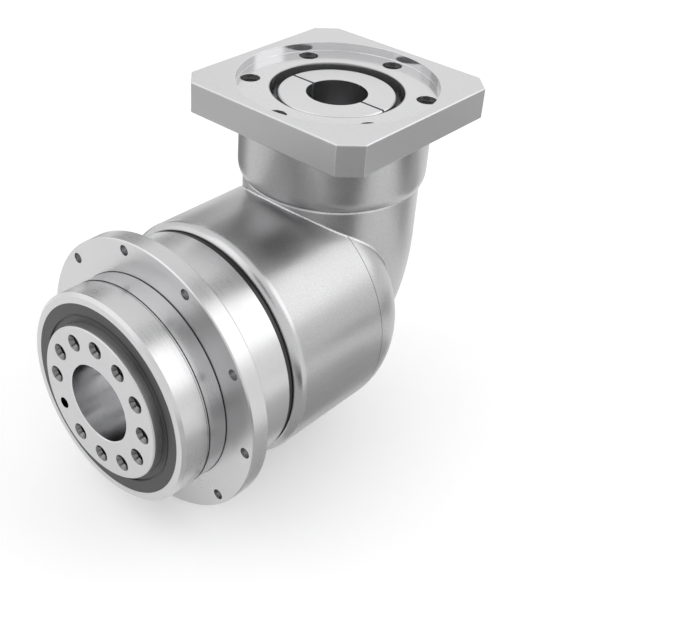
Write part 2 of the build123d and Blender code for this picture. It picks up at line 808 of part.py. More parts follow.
# Pinion shaft: clamping hub, socket, journal, stem and pinion in one piece
pinion_hub = [
    (pinion_stem_r, 36.0),
    (pinion_stem_r, pinion_stem_top_z),
    (input_journal_r - 0.8, pinion_stem_top_z + 1.5),
    (input_journal_r - 0.8, input_bearing_bottom_z),
    (input_journal_r, input_bearing_bottom_z),
    (input_journal_r, input_bearing_top_z),
    (hub_neck_r, input_bearing_top_z),
    (hub_neck_r, hub_bottom_z),
    (hub_r - 0.6, hub_bottom_z),
    (hub_r, hub_bottom_z + 0.6),
    (hub_r, hub_top_z - 0.6),
    (hub_r - 0.6, hub_top_z),
    (0, hub_top_z),
    (0, inner_cone_distance * math.cos(pinion_cone) - 1.5),
    (6.0, inner_cone_distance * math.cos(pinion_cone) - 1.5),
]
pinion_body, pinion_trim = bevel_blank(pinion_cone, pinion_addendum, pinion_dedendum, pinion_hub)
pinion_tooth = bevel_tooth(
    pinion_teeth,
    pinion_cone,
    bevel_half_pitch + bevel_shift_width - bevel_backlash / 2,
    pinion_addendum,
    pinion_dedendum,
    spiral_turn,
) & pinion_trim
pinion_step = 360.0 / pinion_teeth
pinion_crown = [Rot(Z=-90 + pinion_step * k) * pinion_tooth for k in range(pinion_teeth)]
pinion = pinion_body + pinion_crown
slit = Pos(0, 0, (hub_slit_end_z + hub_top_z + 1) / 2) * Box(
    2 * hub_r + 2, hub_slit_width, hub_top_z + 1 - hub_slit_end_z
)
pinion = pinion - cylinder_z(motor_bore_r, motor_bore_end_z, hub_top_z + 1) - slit
clamp_axis = Pos(clamp_screw_offset, -clamp_seat_y, clamp_screw_z) * Rot(X=90)
clamp_seat = clamp_axis * cylinder_z(clamp_head_r + 0.35, 0, 30)
clamp_hole = clamp_axis * cylinder_z(clamp_screw_r, -clamp_screw_length, 1)
pinion = pinion - clamp_seat - clamp_hole
write("input_pinion_shaft", on_input * pinion)
clamp_screw = socket_screw(clamp_screw_r, clamp_screw_length, clamp_head_r, clamp_head_length, 2.3)
write("clamp_screw", on_input * clamp_axis * clamp_screw)

# Bevel gear with its hollow journal
apex_to_back = axis_offset - gear_back_y
apex_to_shoulder = axis_offset - gear_shoulder_y
gear_points = [
    (gear_hub_r, apex_to_back),
    (gear_hub_r, apex_to_shoulder - 0.5),
    (journal_r + 2.5, apex_to_shoulder - 0.5),
    (journal_r + 2.5, axis_offset - sun_bearing_end_y),
    (journal_r, axis_offset - sun_bearing_end_y),
    (journal_r, axis_offset - journal_front_y),
    (sun_shaft_fit_r, axis_offset - journal_front_y),
    (sun_shaft_fit_r, axis_offset - sun_shaft_rear_y),
    (gear_front_bore_r, axis_offset - sun_shaft_rear_y),
    (gear_front_bore_r, inner_cone_distance * math.cos(gear_cone) + 0.5),
]
gear_body, gear_trim = bevel_blank(gear_cone, gear_addendum, gear_dedendum, gear_points)
gear_tooth = bevel_tooth(
    bevel_gear_teeth,
    gear_cone,
    bevel_half_pitch - bevel_shift_width - bevel_backlash / 2,
    gear_addendum,
    gear_dedendum,
    -spiral_turn * pinion_teeth / bevel_gear_teeth,
) & gear_trim
gear_step = 360.0 / bevel_gear_teeth
gear_crown = [Rot(Z=gear_step * (k + 0.5)) * gear_tooth for k in range(bevel_gear_teeth)]
bevel_gear = gear_body + gear_crown
face_output = Pos(0, axis_offset, 0) * Rot(X=90)
write("bevel_gear", face_output * bevel_gear)

# Input bearings in their sleeve
inner, outer, balls, cage = ball_bearing(
    input_journal_r, input_bearing_outer_r, input_bearing_width, input_ball_count, input_ball_r
)
for side, station in (("lower", input_bearing_bottom_z), ("upper", input_bearing_bottom_z + input_bearing_width)):
    place = on_input * Pos(0, 0, station)
    write(f"input_bearing_{side}_inner", place * inner)
    write(f"input_bearing_{side}_outer", place * outer)
    write(f"input_bearing_{side}_balls", place * balls)
    write(f"input_bearing_{side}_cage", place * cage)
sleeve_top_z = input_sleeve_flange_z + input_sleeve_flange_thickness
input_collar_r = sleeve_screw_circle_r - sleeve_screw_head_r - seat_gap
input_sleeve = turned([
    (input_sleeve_lip_r, input_bearing_bottom_z - input_sleeve_lip),
    (input_sleeve_r, input_bearing_bottom_z - input_sleeve_lip),
    (input_sleeve_r, input_sleeve_flange_z),
    (input_sleeve_flange_r, input_sleeve_flange_z),
    (input_sleeve_flange_r, sleeve_top_z),
    (input_collar_r, sleeve_top_z),
    (input_collar_r, input_seal_top_z),
    (input_bearing_outer_r, input_seal_top_z),
    (input_bearing_outer_r, input_bearing_bottom_z),
    (input_sleeve_lip_r, input_bearing_bottom_z),
])
sleeve_screw_places = on_circle(sleeve_screw_circle_r, sleeve_screw_count, 0)
sleeve_holes = [
    cylinder_z(sleeve_screw_r, input_sleeve_flange_z - 1, sleeve_top_z + 1, x, y) for x, y in sleeve_screw_places
]
write("input_bearing_sleeve", on_input * (input_sleeve - sleeve_holes))
sleeve_screw = socket_screw(sleeve_screw_r, sleeve_screw_length, sleeve_screw_head_r, sleeve_screw_head, 1.5)
write("sleeve_screws", on_input * all_of([Pos(x, y, sleeve_top_z) * sleeve_screw for x, y in sleeve_screw_places]))
input_seal = input_turned([
    (hub_neck_r + running_gap, input_seal_bottom_z + 1),
    (hub_neck_r + running_gap, input_seal_top_z),
    (input_bearing_outer_r, input_seal_top_z),
    (input_bearing_outer_r, input_seal_bottom_z),
    (hub_neck_r + 3, input_seal_bottom_z),
])
write("input_seal", input_seal)
input_nut = locknut(input_journal_r - 0.8, input_nut_r, input_nut_width)
input_nut_z = input_bearing_bottom_z - 0.1 - input_nut_width
write("input_locknut", on_input * Pos(0, 0, input_nut_z) * input_nut)

# Adapter plate
plate = Pos(0, 0, (plate_bottom_z + plate_top_z) / 2) * Box(plate_side, plate_side, plate_thickness)
plate = chamfer(plate.edges().filter_by(Axis.Z), plate_corner)
plate = chamfer(plate.faces().sort_by(Axis.Z)[-1].edges(), plate_edge_chamfer)
plate = chamfer(plate.faces().sort_by(Axis.Z)[0].edges(), plate_edge_chamfer)
plate = plate + cylinder_z(plate_lip_r, plate_bottom_z - plate_lip, plate_bottom_z + 1)
plate = plate - cylinder_z(pilot_recess_r, recess_floor_z, plate_top_z + 1)
plate = plate - cylinder_z(plate_bore_r, plate_bottom_z - plate_lip - 1, plate_top_z + 1)
adapter_places = on_circle(adapter_circle_r, adapter_screw_count, adapter_first_angle)
head_seat_z = recess_floor_z - adapter_counterbore_depth
counterbores = [cylinder_z(adapter_counterbore_r, head_seat_z, recess_floor_z + 1, x, y) for x, y in adapter_places]
through_holes = [
    cylinder_z(adapter_screw_r, plate_bottom_z - 1, head_seat_z + 1, x, y) for x, y in adapter_places
]
access_axis = Pos(access_x, plate_side / 2, clamp_screw_z) * Rot(X=-90)
access_hole = access_axis * cylinder_z(access_hole_r, -plate_side / 2, 1)
plate = plate - counterbores - through_holes
plate = plate - (access_hole - cylinder_z(plate_bore_r, plate_bottom_z - 3, plate_top_z))
write("adapter_plate", on_input * plate)
adapter_screw = socket_screw(adapter_screw_r, adapter_screw_length, adapter_head_r, adapter_head, 2.3)
write("adapter_screws", on_input * all_of([Pos(x, y, head_seat_z) * adapter_screw for x, y in adapter_places]))
plug = cylinder_z(access_hole_r, -access_plug_length, 0) + cylinder_z(access_cap_r, 0, access_cap)
write("access_plug", on_input * access_axis * plug)

# Elbow housing: a barrel along the output, a neck along the input, and a domed heel
shoulder_end_y = shoulder_start_y + shoulder_radius
with BuildSketch(Plane.XZ) as barrel_sketch:
    with BuildLine():
        Polyline((0, barrel_front_y), (barrel_r, barrel_front_y), (barrel_r, shoulder_start_y))
        RadiusArc((barrel_r, shoulder_start_y), (barrel_r - shoulder_radius, shoulder_end_y), -shoulder_radius)
        Polyline((barrel_r - shoulder_radius, shoulder_end_y), (0, shoulder_end_y), (0, barrel_front_y))
    make_face()
barrel = revolve(barrel_sketch.sketch, axis=Axis.Z)
front_edges = barrel.edges().filter_by(GeomType.CIRCLE).sort_by(Axis.Z)[0:1]
barrel = along_output * fillet(front_edges, barrel_lip_radius)
heel_steps = 7
heel_points = []
for k in range(heel_steps + 1):
    angle = math.pi / 2 * k / heel_steps
    heel_points.append((neck_r * math.cos(angle), neck_end_start_z - neck_end_length * math.sin(angle)))
with BuildSketch(Plane.XZ) as neck_sketch:
    with BuildLine():
        Spline(*heel_points, tangents=[(0, -1), (-1, 0)])
        Polyline(
            heel_points[-1],
            (0, plate_bottom_z),
            (neck_band_r, plate_bottom_z),
            (neck_band_r, neck_band_bottom_z),
        )
        Spline(
            (neck_band_r, neck_band_bottom_z),
            (neck_step_r, neck_step_z),
            tangents=[(0, -1), (-0.75, -0.66)],
        )
        Polyline(
            (neck_step_r, neck_step_z),
            (neck_r - neck_groove, neck_step_z),
            (neck_r, neck_step_z - 2 * neck_groove),
            heel_points[0],
        )
    make_face()
neck = on_input * revolve(neck_sketch.sketch, axis=Axis.Z)
elbow = barrel + neck
sleeve_groove = sleeve_ring_width + 0.1
bore_steps = output_turned([
    (0, barrel_front_y - 1),
    (spigot_r, barrel_front_y - 1),
    (spigot_r, housing_bore_end_y),
    (sun_sleeve_r, housing_bore_end_y),
    (sun_sleeve_r, sun_bearing_front_y - sleeve_groove),
    (sleeve_ring_r, sun_bearing_front_y - sleeve_groove),
    (sleeve_ring_r, sun_bearing_front_y),
    (sun_sleeve_r, sun_bearing_front_y),
    (sun_sleeve_r, cartridge_end_y),
    (cavity_r, cartridge_end_y),
    (cavity_r, cavity_end_y - 8),
    (cavity_r - 8, cavity_end_y),
    (0, cavity_end_y),
])
neck_steps = input_turned([
    (0, neck_cavity_bottom_z),
    (neck_throat_r - 8, neck_cavity_bottom_z),
    (neck_throat_r, neck_cavity_bottom_z + 8),
    (neck_throat_r, input_bearing_bottom_z - input_sleeve_lip),
    (input_sleeve_r, input_bearing_bottom_z - input_sleeve_lip),
    (input_sleeve_r, input_sleeve_flange_z),
    (neck_pocket_r, input_sleeve_flange_z),
    (neck_pocket_r, plate_bottom_z + 1),
    (0, plate_bottom_z + 1),
])
elbow = elbow - bore_steps - neck_steps
thread_depth = adapter_screw_length - (head_seat_z - plate_bottom_z) + 2
screw_threads = [
    on_input * cylinder_z(adapter_screw_r, plate_bottom_z - thread_depth, plate_bottom_z + 1, x, y)
    for x, y in adapter_places
]
small_threads = [
    on_input
    * cylinder_z(sleeve_screw_r, sleeve_top_z - sleeve_screw_length - 1, input_sleeve_flange_z + 1, x, y)
    for x, y in sleeve_screw_places
]
elbow = elbow - screw_threads - small_threads
write("elbow_housing", elbow)
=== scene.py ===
import math

import bpy
from mathutils import Matrix, Vector


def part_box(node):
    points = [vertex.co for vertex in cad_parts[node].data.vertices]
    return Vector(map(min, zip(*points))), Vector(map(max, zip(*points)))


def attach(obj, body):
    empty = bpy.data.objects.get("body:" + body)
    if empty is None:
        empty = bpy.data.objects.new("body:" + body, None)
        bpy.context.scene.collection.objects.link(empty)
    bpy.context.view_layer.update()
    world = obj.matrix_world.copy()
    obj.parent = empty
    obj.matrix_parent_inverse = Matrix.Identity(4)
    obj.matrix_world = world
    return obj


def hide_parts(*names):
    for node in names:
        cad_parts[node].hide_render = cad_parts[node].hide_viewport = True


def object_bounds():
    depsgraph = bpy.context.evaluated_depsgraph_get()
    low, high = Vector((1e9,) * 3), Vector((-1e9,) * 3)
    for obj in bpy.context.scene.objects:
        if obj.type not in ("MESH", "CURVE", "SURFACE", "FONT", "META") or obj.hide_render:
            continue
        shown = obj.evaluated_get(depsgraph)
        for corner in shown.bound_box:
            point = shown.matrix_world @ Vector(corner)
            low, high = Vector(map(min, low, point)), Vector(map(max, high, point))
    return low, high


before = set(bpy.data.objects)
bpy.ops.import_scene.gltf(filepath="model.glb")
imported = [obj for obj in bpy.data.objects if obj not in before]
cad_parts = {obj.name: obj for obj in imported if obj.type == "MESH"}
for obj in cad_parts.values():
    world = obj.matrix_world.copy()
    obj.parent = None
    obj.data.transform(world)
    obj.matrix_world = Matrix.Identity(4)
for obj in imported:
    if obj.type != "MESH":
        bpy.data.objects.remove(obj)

bl_info = {
    "name": "Right-angle gearbox",
    "version": (1, 0, 0),
    "blender": (4, 5, 0),
    "location": "3D View > Sidebar > Gearbox",
    "description": "Finishes, small parts, light and camera for a right-angle planetary gearbox",
    "category": "Object",
}

CAD_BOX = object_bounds()
MM = 0.001
# The input axis is parallel to Z and stands this far along the output axis, which is Y.
INPUT_AXIS = Vector((0.0, 132.0 * MM, 0.0))
OUTPUT_FACE_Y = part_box("output_carrier")[0].y
FLOOR_Z = CAD_BOX[0][2]
ON_OUTPUT_AXIS = (0.0, 0.0, 0.0)
# The point between barrel and neck that lamps and cards face.
GEARBOX_MIDDLE = (0.0, 0.07, 0.02)
# Sides of a turned piece that is large enough to show its corners.
ROUND_SIDES = 256
WHITE = (1.0, 1.0, 1.0, 1.0)
IMAGE_WIDTH = 695
IMAGE_HEIGHT = 630


def linear(hex_colour):
    """An sRGB hex colour as linear red, green and blue."""
    channels = [int(hex_colour[i:i + 2], 16) / 255 for i in (1, 3, 5)]
    return tuple(c / 12.92 if c <= 0.04045 else ((c + 0.055) / 1.055) ** 2.4 for c in channels)


def length_property(name, description, default_mm, low_mm=0.0, high_mm=1000.0):
    """A length that is written in millimetres and kept in metres."""
    return bpy.props.FloatProperty(
        name=name, description=description, default=default_mm * MM, min=low_mm * MM, max=high_mm * MM,
        unit="LENGTH", precision=5,
    )


def colour_property(name, description, hex_colour):
    """A colour that is written as sRGB hex and kept as linear."""
    return bpy.props.FloatVectorProperty(
        name=name, description=description, default=linear(hex_colour), size=3, min=0.0, max=1.0,
        subtype="COLOR",
    )


def share_property(name, description, default):
    """A number from 0 to 1."""
    return bpy.props.FloatProperty(
        name=name, description=description, default=default, min=0.0, max=1.0, subtype="FACTOR",
    )


class GearboxFinish(bpy.types.PropertyGroup):
    """Colours and surface sizes of the gearbox."""

    casting_colour: colour_property("Casting", "Colour of the bead-blasted elbow casting", "#BABABB")
    casting_roughness: share_property("Casting roughness", "How dull the blasted casting is", 0.31)
    casting_grain: length_property("Casting grain", "Width of the blasted grain", 0.55, 0.1, 5.0)
    turned_colour: colour_property("Turned steel", "Colour of the lathe-turned steel", "#D0D0D1")
    turned_roughness: share_property("Turned roughness", "How dull the turned steel is", 0.3)
    turned_feed: length_property("Turned feed", "Spacing of the lathe's tool marks", 0.8, 0.05, 5.0)
    faced_roughness: share_property("Faced roughness", "How dull the lathe-faced output face is", 0.42)
    plate_colour: colour_property("Motor plate", "Colour of the milled aluminium plate", "#DCDCDD")
    plate_roughness: share_property("Plate roughness", "How dull the milled plate is", 0.42)
    recess_roughness: share_property("Recess roughness", "How dull the turned motor recess is", 0.14)
    # Painted shade: the threads are painted nearly black, darkening the inside of the holes.
    tapped_shaded_colour: colour_property("Tapped steel", "Colour of the oiled threads in the holes", "#343436")
    lip_colour: colour_property("Lip", "Colour of the cast barrel's turned lip", "#C4C4C5")
    lip_roughness: share_property("Lip roughness", "How dull the barrel's turned lip is", 0.27)
    # Painted shade: the plate's sides are painted darker than its top.
    side_painted_shade: share_property("Side shade", "Brightness of the plate's sides beside its top", 0.66)
    hub_roughness: share_property("Hub roughness", "How dull the ground clamping hub is", 0.4)
    bored_roughness: share_property("Bore roughness", "How dull the finely bored holes are", 0.18)
    rubber_colour: colour_property("Seal rubber", "Colour of the shaft seals", "#2C2C2D")
    ring_colour: colour_property("Ring rubber", "Colour of the ring between the housings", "#161617")
    oxide_colour: colour_property("Black oxide", "Colour of the oxidised screws", "#2A2A2C")
    hardened_colour: colour_property("Hardened steel", "Colour of the gears and races", "#B4B5B8")
    gear_roughness: share_property("Gear roughness", "How dull the ground gears are", 0.22)
    race_roughness: share_property("Race roughness", "How dull the input bearings' races are", 0.2)
    cage_colour: colour_property("Pressed cage", "Colour of the bearing cages", "#A9A394")
    cage_roughness: share_property("Cage roughness", "How dull the pressed cages are", 0.38)


class GearboxDetail(bpy.types.PropertyGroup):
    """Sizes of the small parts that are made here."""

    lip_front: length_property(
        "Lip front", "Where the barrel's lip starts on the output axis", 38.7, 30.0, 60.0)
    lip_back: length_property("Lip back", "Where the barrel's lip reaches full size", 44.6, 30.0, 60.0)
    lip_mouth_radius: length_property("Lip mouth", "Radius of the barrel's mouth", 62.0, 10.0, 200.0)
    lip_bulge: length_property(
        "Lip bulge", "How far the lip's profile stands out of its chord", 1.0, 0.0, 5.0)
    countersink_radius: length_property(
        "Countersink", "Radius of the mouths of the screw holes", 4.5, 3.0, 8.0)
    countersink_depth: length_property(
        "Countersink depth", "Depth of the mouths of the screw holes", 2.6, 0.5, 8.0)
    thread_pitch: length_property("Thread pitch", "Pitch of the output threads", 1.0, 0.2, 3.0)
    thread_depth: length_property("Thread depth", "Height of the thread's ridge", 0.45, 0.05, 2.0)
    thread_length: length_property("Thread length", "How deep the threads go", 10.0, 1.0, 40.0)
    output_circle: length_property(
        "Output circle", "Radius of the circle of output holes", 31.5, 1.0, 200.0)
    output_holes: bpy.props.IntProperty(
        name="Output holes", description="Places on the output circle", default=12, min=1, max=48)
    dowel_place: bpy.props.IntProperty(
        name="Dowel place", description="Which place has the plain dowel hole", default=8, min=0, max=47)


class GearboxStage(bpy.types.PropertyGroup):
    """The studio: floor, lamps and camera."""

    floor_colour: colour_property("Floor", "Colour of the plain floor", "#FAFAFA")
    key_power: bpy.props.FloatProperty(
        name="Key lamp", description="Power of the large lamp at the right", default=2.3, min=0.0,
        unit="POWER")
    fill_power: bpy.props.FloatProperty(
        name="Fill lamp", description="Power of the lamp at the left", default=0.5, min=0.0, unit="POWER")
    top_power: bpy.props.FloatProperty(
        name="Top lamp", description="Power of the lamp overhead", default=1.5, min=0.0, unit="POWER")
    camera_azimuth: bpy.props.FloatProperty(
        name="Camera azimuth", description="How far the camera stands round from the output side",
        default=math.radians(42.38), subtype="ANGLE")
    camera_elevation: bpy.props.FloatProperty(
        name="Camera elevation", description="How far the camera looks down", default=math.radians(32.81),
        subtype="ANGLE")
    camera_roll: bpy.props.FloatProperty(
        name="Camera roll", description="How far the camera leans", default=math.radians(2.25),
        subtype="ANGLE")
    camera_distance: length_property("Camera distance", "From the aim to the camera", 607.56, 10.0, 5000.0)
    aim_right: length_property("Aim right", "Aim's offset to the camera's right", -34.7, -500.0, 500.0)
    aim_up: length_property("Aim up", "Aim's offset along the camera's up", 4.41, -500.0, 500.0)
    focal_pixels: bpy.props.FloatProperty(
        name="Focal length", description="Focal length in pixels of the picture", default=1068.93, min=1.0)
    centre_x: bpy.props.FloatProperty(
        name="Optical centre across", description="Pixel column of the lens's centre", default=262.0)
    centre_y: bpy.props.FloatProperty(
        name="Optical centre down", description="Pixel row of the lens's centre", default=266.0)


# Materials

def add_node(tree, kind, settings=None, links=None):
    """Adds a node, sets its properties and inputs, and links its inputs from other nodes' outputs."""
    node = tree.nodes.new(kind)
    for name, value in (settings or {}).items():
        if isinstance(name, str) and hasattr(node, name):
            setattr(node, name, value)
        else:
            node.inputs[name].default_value = value
    for name, source in (links or {}).items():
        output = source if isinstance(source, bpy.types.NodeSocket) else source.outputs[0]
        tree.links.new(output, node.inputs[name])
    return node


def start_material(name):
    """An empty node material and its tree."""
    material = bpy.data.materials.new(name)
    material.use_nodes = True
    material.node_tree.nodes.clear()
    return material, material.node_tree


def end_material(tree, shader):
    """Ends a material's tree with its surface."""
    add_node(tree, "ShaderNodeOutputMaterial", links={"Surface": shader.outputs[0]})


def place_in_object(tree, centre):
    """Position in metres, counted from a point of the gearbox, so that marks stay on the piece."""
    coordinates = add_node(tree, "ShaderNodeTexCoord")
    return add_node(
        tree, "ShaderNodeVectorMath", {"operation": "SUBTRACT", 1: tuple(centre)},
        {0: coordinates.outputs["Object"]},
    )


def lathe_place(tree, along, centre, feed):
    """Distance from the axis and place along it, counted in tool feeds: equal all the way round."""
    place = place_in_object(tree, centre)
    split = add_node(tree, "ShaderNodeSeparateXYZ", links={0: place})
    across = {"Y": ("X", "Z"), "Z": ("X", "Y")}[along]
    flat = add_node(
        tree, "ShaderNodeCombineXYZ",
        links={"X": split.outputs[across[0]], "Y": split.outputs[across[1]]},
    )
    radius = add_node(tree, "ShaderNodeVectorMath", {"operation": "LENGTH"}, {0: flat})
    both = add_node(
        tree, "ShaderNodeCombineXYZ",
        links={"X": radius.outputs["Value"], "Y": split.outputs[along]},
    )
    return add_node(
        tree, "ShaderNodeVectorMath", {"operation": "SCALE", "Scale": 1.0 / feed}, {0: both}
    )


def shade_of(colour, factor):
    """A colour made darker or lighter, with full opacity."""
    return tuple(c * factor for c in colour[:3]) + (1.0,)


def mix_numbers(tree, factor, low, high):
    """A number that goes from low to high as the factor goes from 0 to 1."""
    span = add_node(tree, "ShaderNodeMapRange", {"To Min": low, "To Max": high}, {"Value": factor})
    return span.outputs[0]


def within_radius(tree, marks_place, radius, feed):
    """1 nearer to the lathe's axis than the radius, 0 outside it."""
    split = add_node(tree, "ShaderNodeSeparateXYZ", links={0: marks_place})
    return add_node(
        tree, "ShaderNodeMath", {"operation": "LESS_THAN", 1: radius / feed}, {0: split.outputs["X"]}
    )


def ring_band(tree, place, line_y, half_width, radius, radius_slack):
    """1 on a thin dark line that runs round the output axis on a given radius, 0 elsewhere."""
    split = add_node(tree, "ShaderNodeSeparateXYZ", links={0: place})
    flat = add_node(
        tree, "ShaderNodeCombineXYZ", links={"X": split.outputs["X"], "Z": split.outputs["Z"]}
    )
    from_axis = add_node(tree, "ShaderNodeVectorMath", {"operation": "LENGTH"}, {0: flat})
    on_line = add_node(
        tree, "ShaderNodeMath", {"operation": "COMPARE", 1: line_y, 2: half_width}, {0: split.outputs["Y"]}
    )
    on_radius = add_node(
        tree, "ShaderNodeMath", {"operation": "COMPARE", 1: radius, 2: radius_slack},
        {0: from_axis.outputs["Value"]},
    )
    return add_node(tree, "ShaderNodeMath", {"operation": "MULTIPLY"}, {0: on_line, 1: on_radius})


def any_of(tree, masks):
    """1 where any of the masks is 1."""
    whole = masks[0]
    for mask in masks[1:]:
        whole = add_node(tree, "ShaderNodeMath", {"operation": "MAXIMUM"}, {0: whole, 1: mask})
    return whole


def seen_directly(tree, path):
    """1 where the camera or a mirror-like surface looks, 0 where light is only gathered."""
    return add_node(
        tree, "ShaderNodeMath", {"operation": "MAXIMUM"},
        {0: path.outputs["Is Camera Ray"], 1: path.outputs["Is Glossy Ray"]},
    )


def edges_and_creases(tree, rounded):
    """1 along edges and creases, where the rounded normal leaves the surface's own, 0 on open surfaces."""
    surface = add_node(tree, "ShaderNodeNewGeometry")
    agreement = add_node(
        tree, "ShaderNodeVectorMath", {"operation": "DOT_PRODUCT"},
        {0: rounded, 1: surface.outputs["Normal"]},
    )
    return add_node(
        tree, "ShaderNodeMapRange", {"From Min": 0.992, "From Max": 0.95},
        {"Value": agreement.outputs["Value"]},
    )


def turned_metal(name, colour, roughness, along, centre, feed, bore=(0.0, 0.2, 1.0), lines=(),
                 hole_band=None):
    """Metal cut on a lathe: rings of the tool's feed run round the axis and stretch the highlights.

    The bore is the radius, roughness and painted brightness of a hole that was cut with a finer
    tool; the brightness is painted light standing in for the light inside the hole.
    The relief is that of a finishing cut, and the blotches are faint stains of coolant, 18 mm wide.
    The lines are grooves and corners painted dark, a painted shade in their creases, each as its
    place, half width, radius and slack.
    The hole band is the middle and half width, along and across the axis, of a circle of drilled
    holes, which are smoother than the face round them and painted darker, a painted shade in them.
    """
    material, tree = start_material(name)
    relief, blotch, blotch_width = 0.0035 * MM, 0.03, 18 * MM
    # Painted shade in the lines and the drilled holes, as shares of the colour.
    line_painted_shade, hole_painted_shade, hole_roughness = 0.16, 0.3, 0.2
    marks_place = lathe_place(tree, along, centre, feed)
    bore_radius, bore_roughness, bore_painted_light = bore
    in_bore = within_radius(tree, marks_place, bore_radius, feed)
    rings = add_node(
        tree, "ShaderNodeTexNoise",
        {"noise_dimensions": "3D", "Scale": 1.0, "Detail": 3.0, "Roughness": 0.6}, {"Vector": marks_place}
    )
    patches = add_node(
        tree, "ShaderNodeTexNoise", {"Scale": 1.0 / blotch_width, "Detail": 2.0},
        {"Vector": place_in_object(tree, centre)},
    )
    tint = add_node(
        tree, "ShaderNodeMix", {"data_type": "RGBA"},
        {"Factor": rings.outputs["Fac"]},
    )
    tint.inputs["A"].default_value = shade_of(colour, 0.95)
    tint.inputs["B"].default_value = shade_of(colour, 1.0)
    # Painted light: the bore's colour is scaled by its brightness, standing in for the light inside it.
    brightness = mix_numbers(tree, in_bore, 1.0, bore_painted_light)
    # Painted shade: the lines are darkened to 0.16 of their colour.
    if lines:
        place = place_in_object(tree, centre)
        painted_lines = any_of(tree, [ring_band(tree, place, *line) for line in lines])
        brightness = add_node(
            tree, "ShaderNodeMath", {"operation": "MULTIPLY"},
            {0: brightness, 1: mix_numbers(tree, painted_lines, 1.0, line_painted_shade)},
        )
    base_rough = mix_numbers(tree, in_bore, roughness, bore_roughness)
    # Painted shade: the drilled holes are darkened, and their roughness lowered.
    if hole_band:
        in_hole = ring_band(tree, place_in_object(tree, centre), *hole_band)
        brightness = add_node(
            tree, "ShaderNodeMath", {"operation": "MULTIPLY"},
            {0: brightness, 1: mix_numbers(tree, in_hole, 1.0, hole_painted_shade)},
        )
        base_rough = add_node(
            tree, "ShaderNodeMath", {"operation": "SUBTRACT", "use_clamp": True},
            {0: base_rough, 1: mix_numbers(tree, in_hole, 0.0, roughness - hole_roughness)},
        )
    shaded = add_node(
        tree, "ShaderNodeVectorMath", {"operation": "SCALE"},
        {0: tint.outputs["Result"], "Scale": brightness},
    )
    patch_rough = add_node(
        tree, "ShaderNodeMapRange", {"From Min": 0.3, "From Max": 0.7, "To Min": -blotch, "To Max": blotch},
        {"Value": patches.outputs["Fac"]},
    )
    blotches_and_edge_highlight = add_node(
        tree, "ShaderNodeMath", {"operation": "ADD"}, {0: patch_rough.outputs[0], 1: base_rough},
    )
    ring_rough = add_node(
        tree, "ShaderNodeMapRange", {"From Min": 0.3, "From Max": 0.7, "To Min": -0.03, "To Max": 0.03},
        {"Value": rings.outputs["Fac"]},
    )
    rough = add_node(
        tree, "ShaderNodeMath", {"operation": "ADD", "use_clamp": True},
        {0: blotches_and_edge_highlight.outputs[0], 1: ring_rough.outputs[0]},
    )
    bump = add_node(
        tree, "ShaderNodeBump", {"Distance": relief},
        {"Height": rings.outputs["Fac"], "Strength": mix_numbers(tree, in_bore, 1.0, 0.1)},
    )
    shader = add_node(
        tree, "ShaderNodeBsdfPrincipled", {"Metallic": 1.0},
        {"Base Color": shaded, "Roughness": rough, "Normal": bump},
    )
    end_material(tree, shader)
    return material


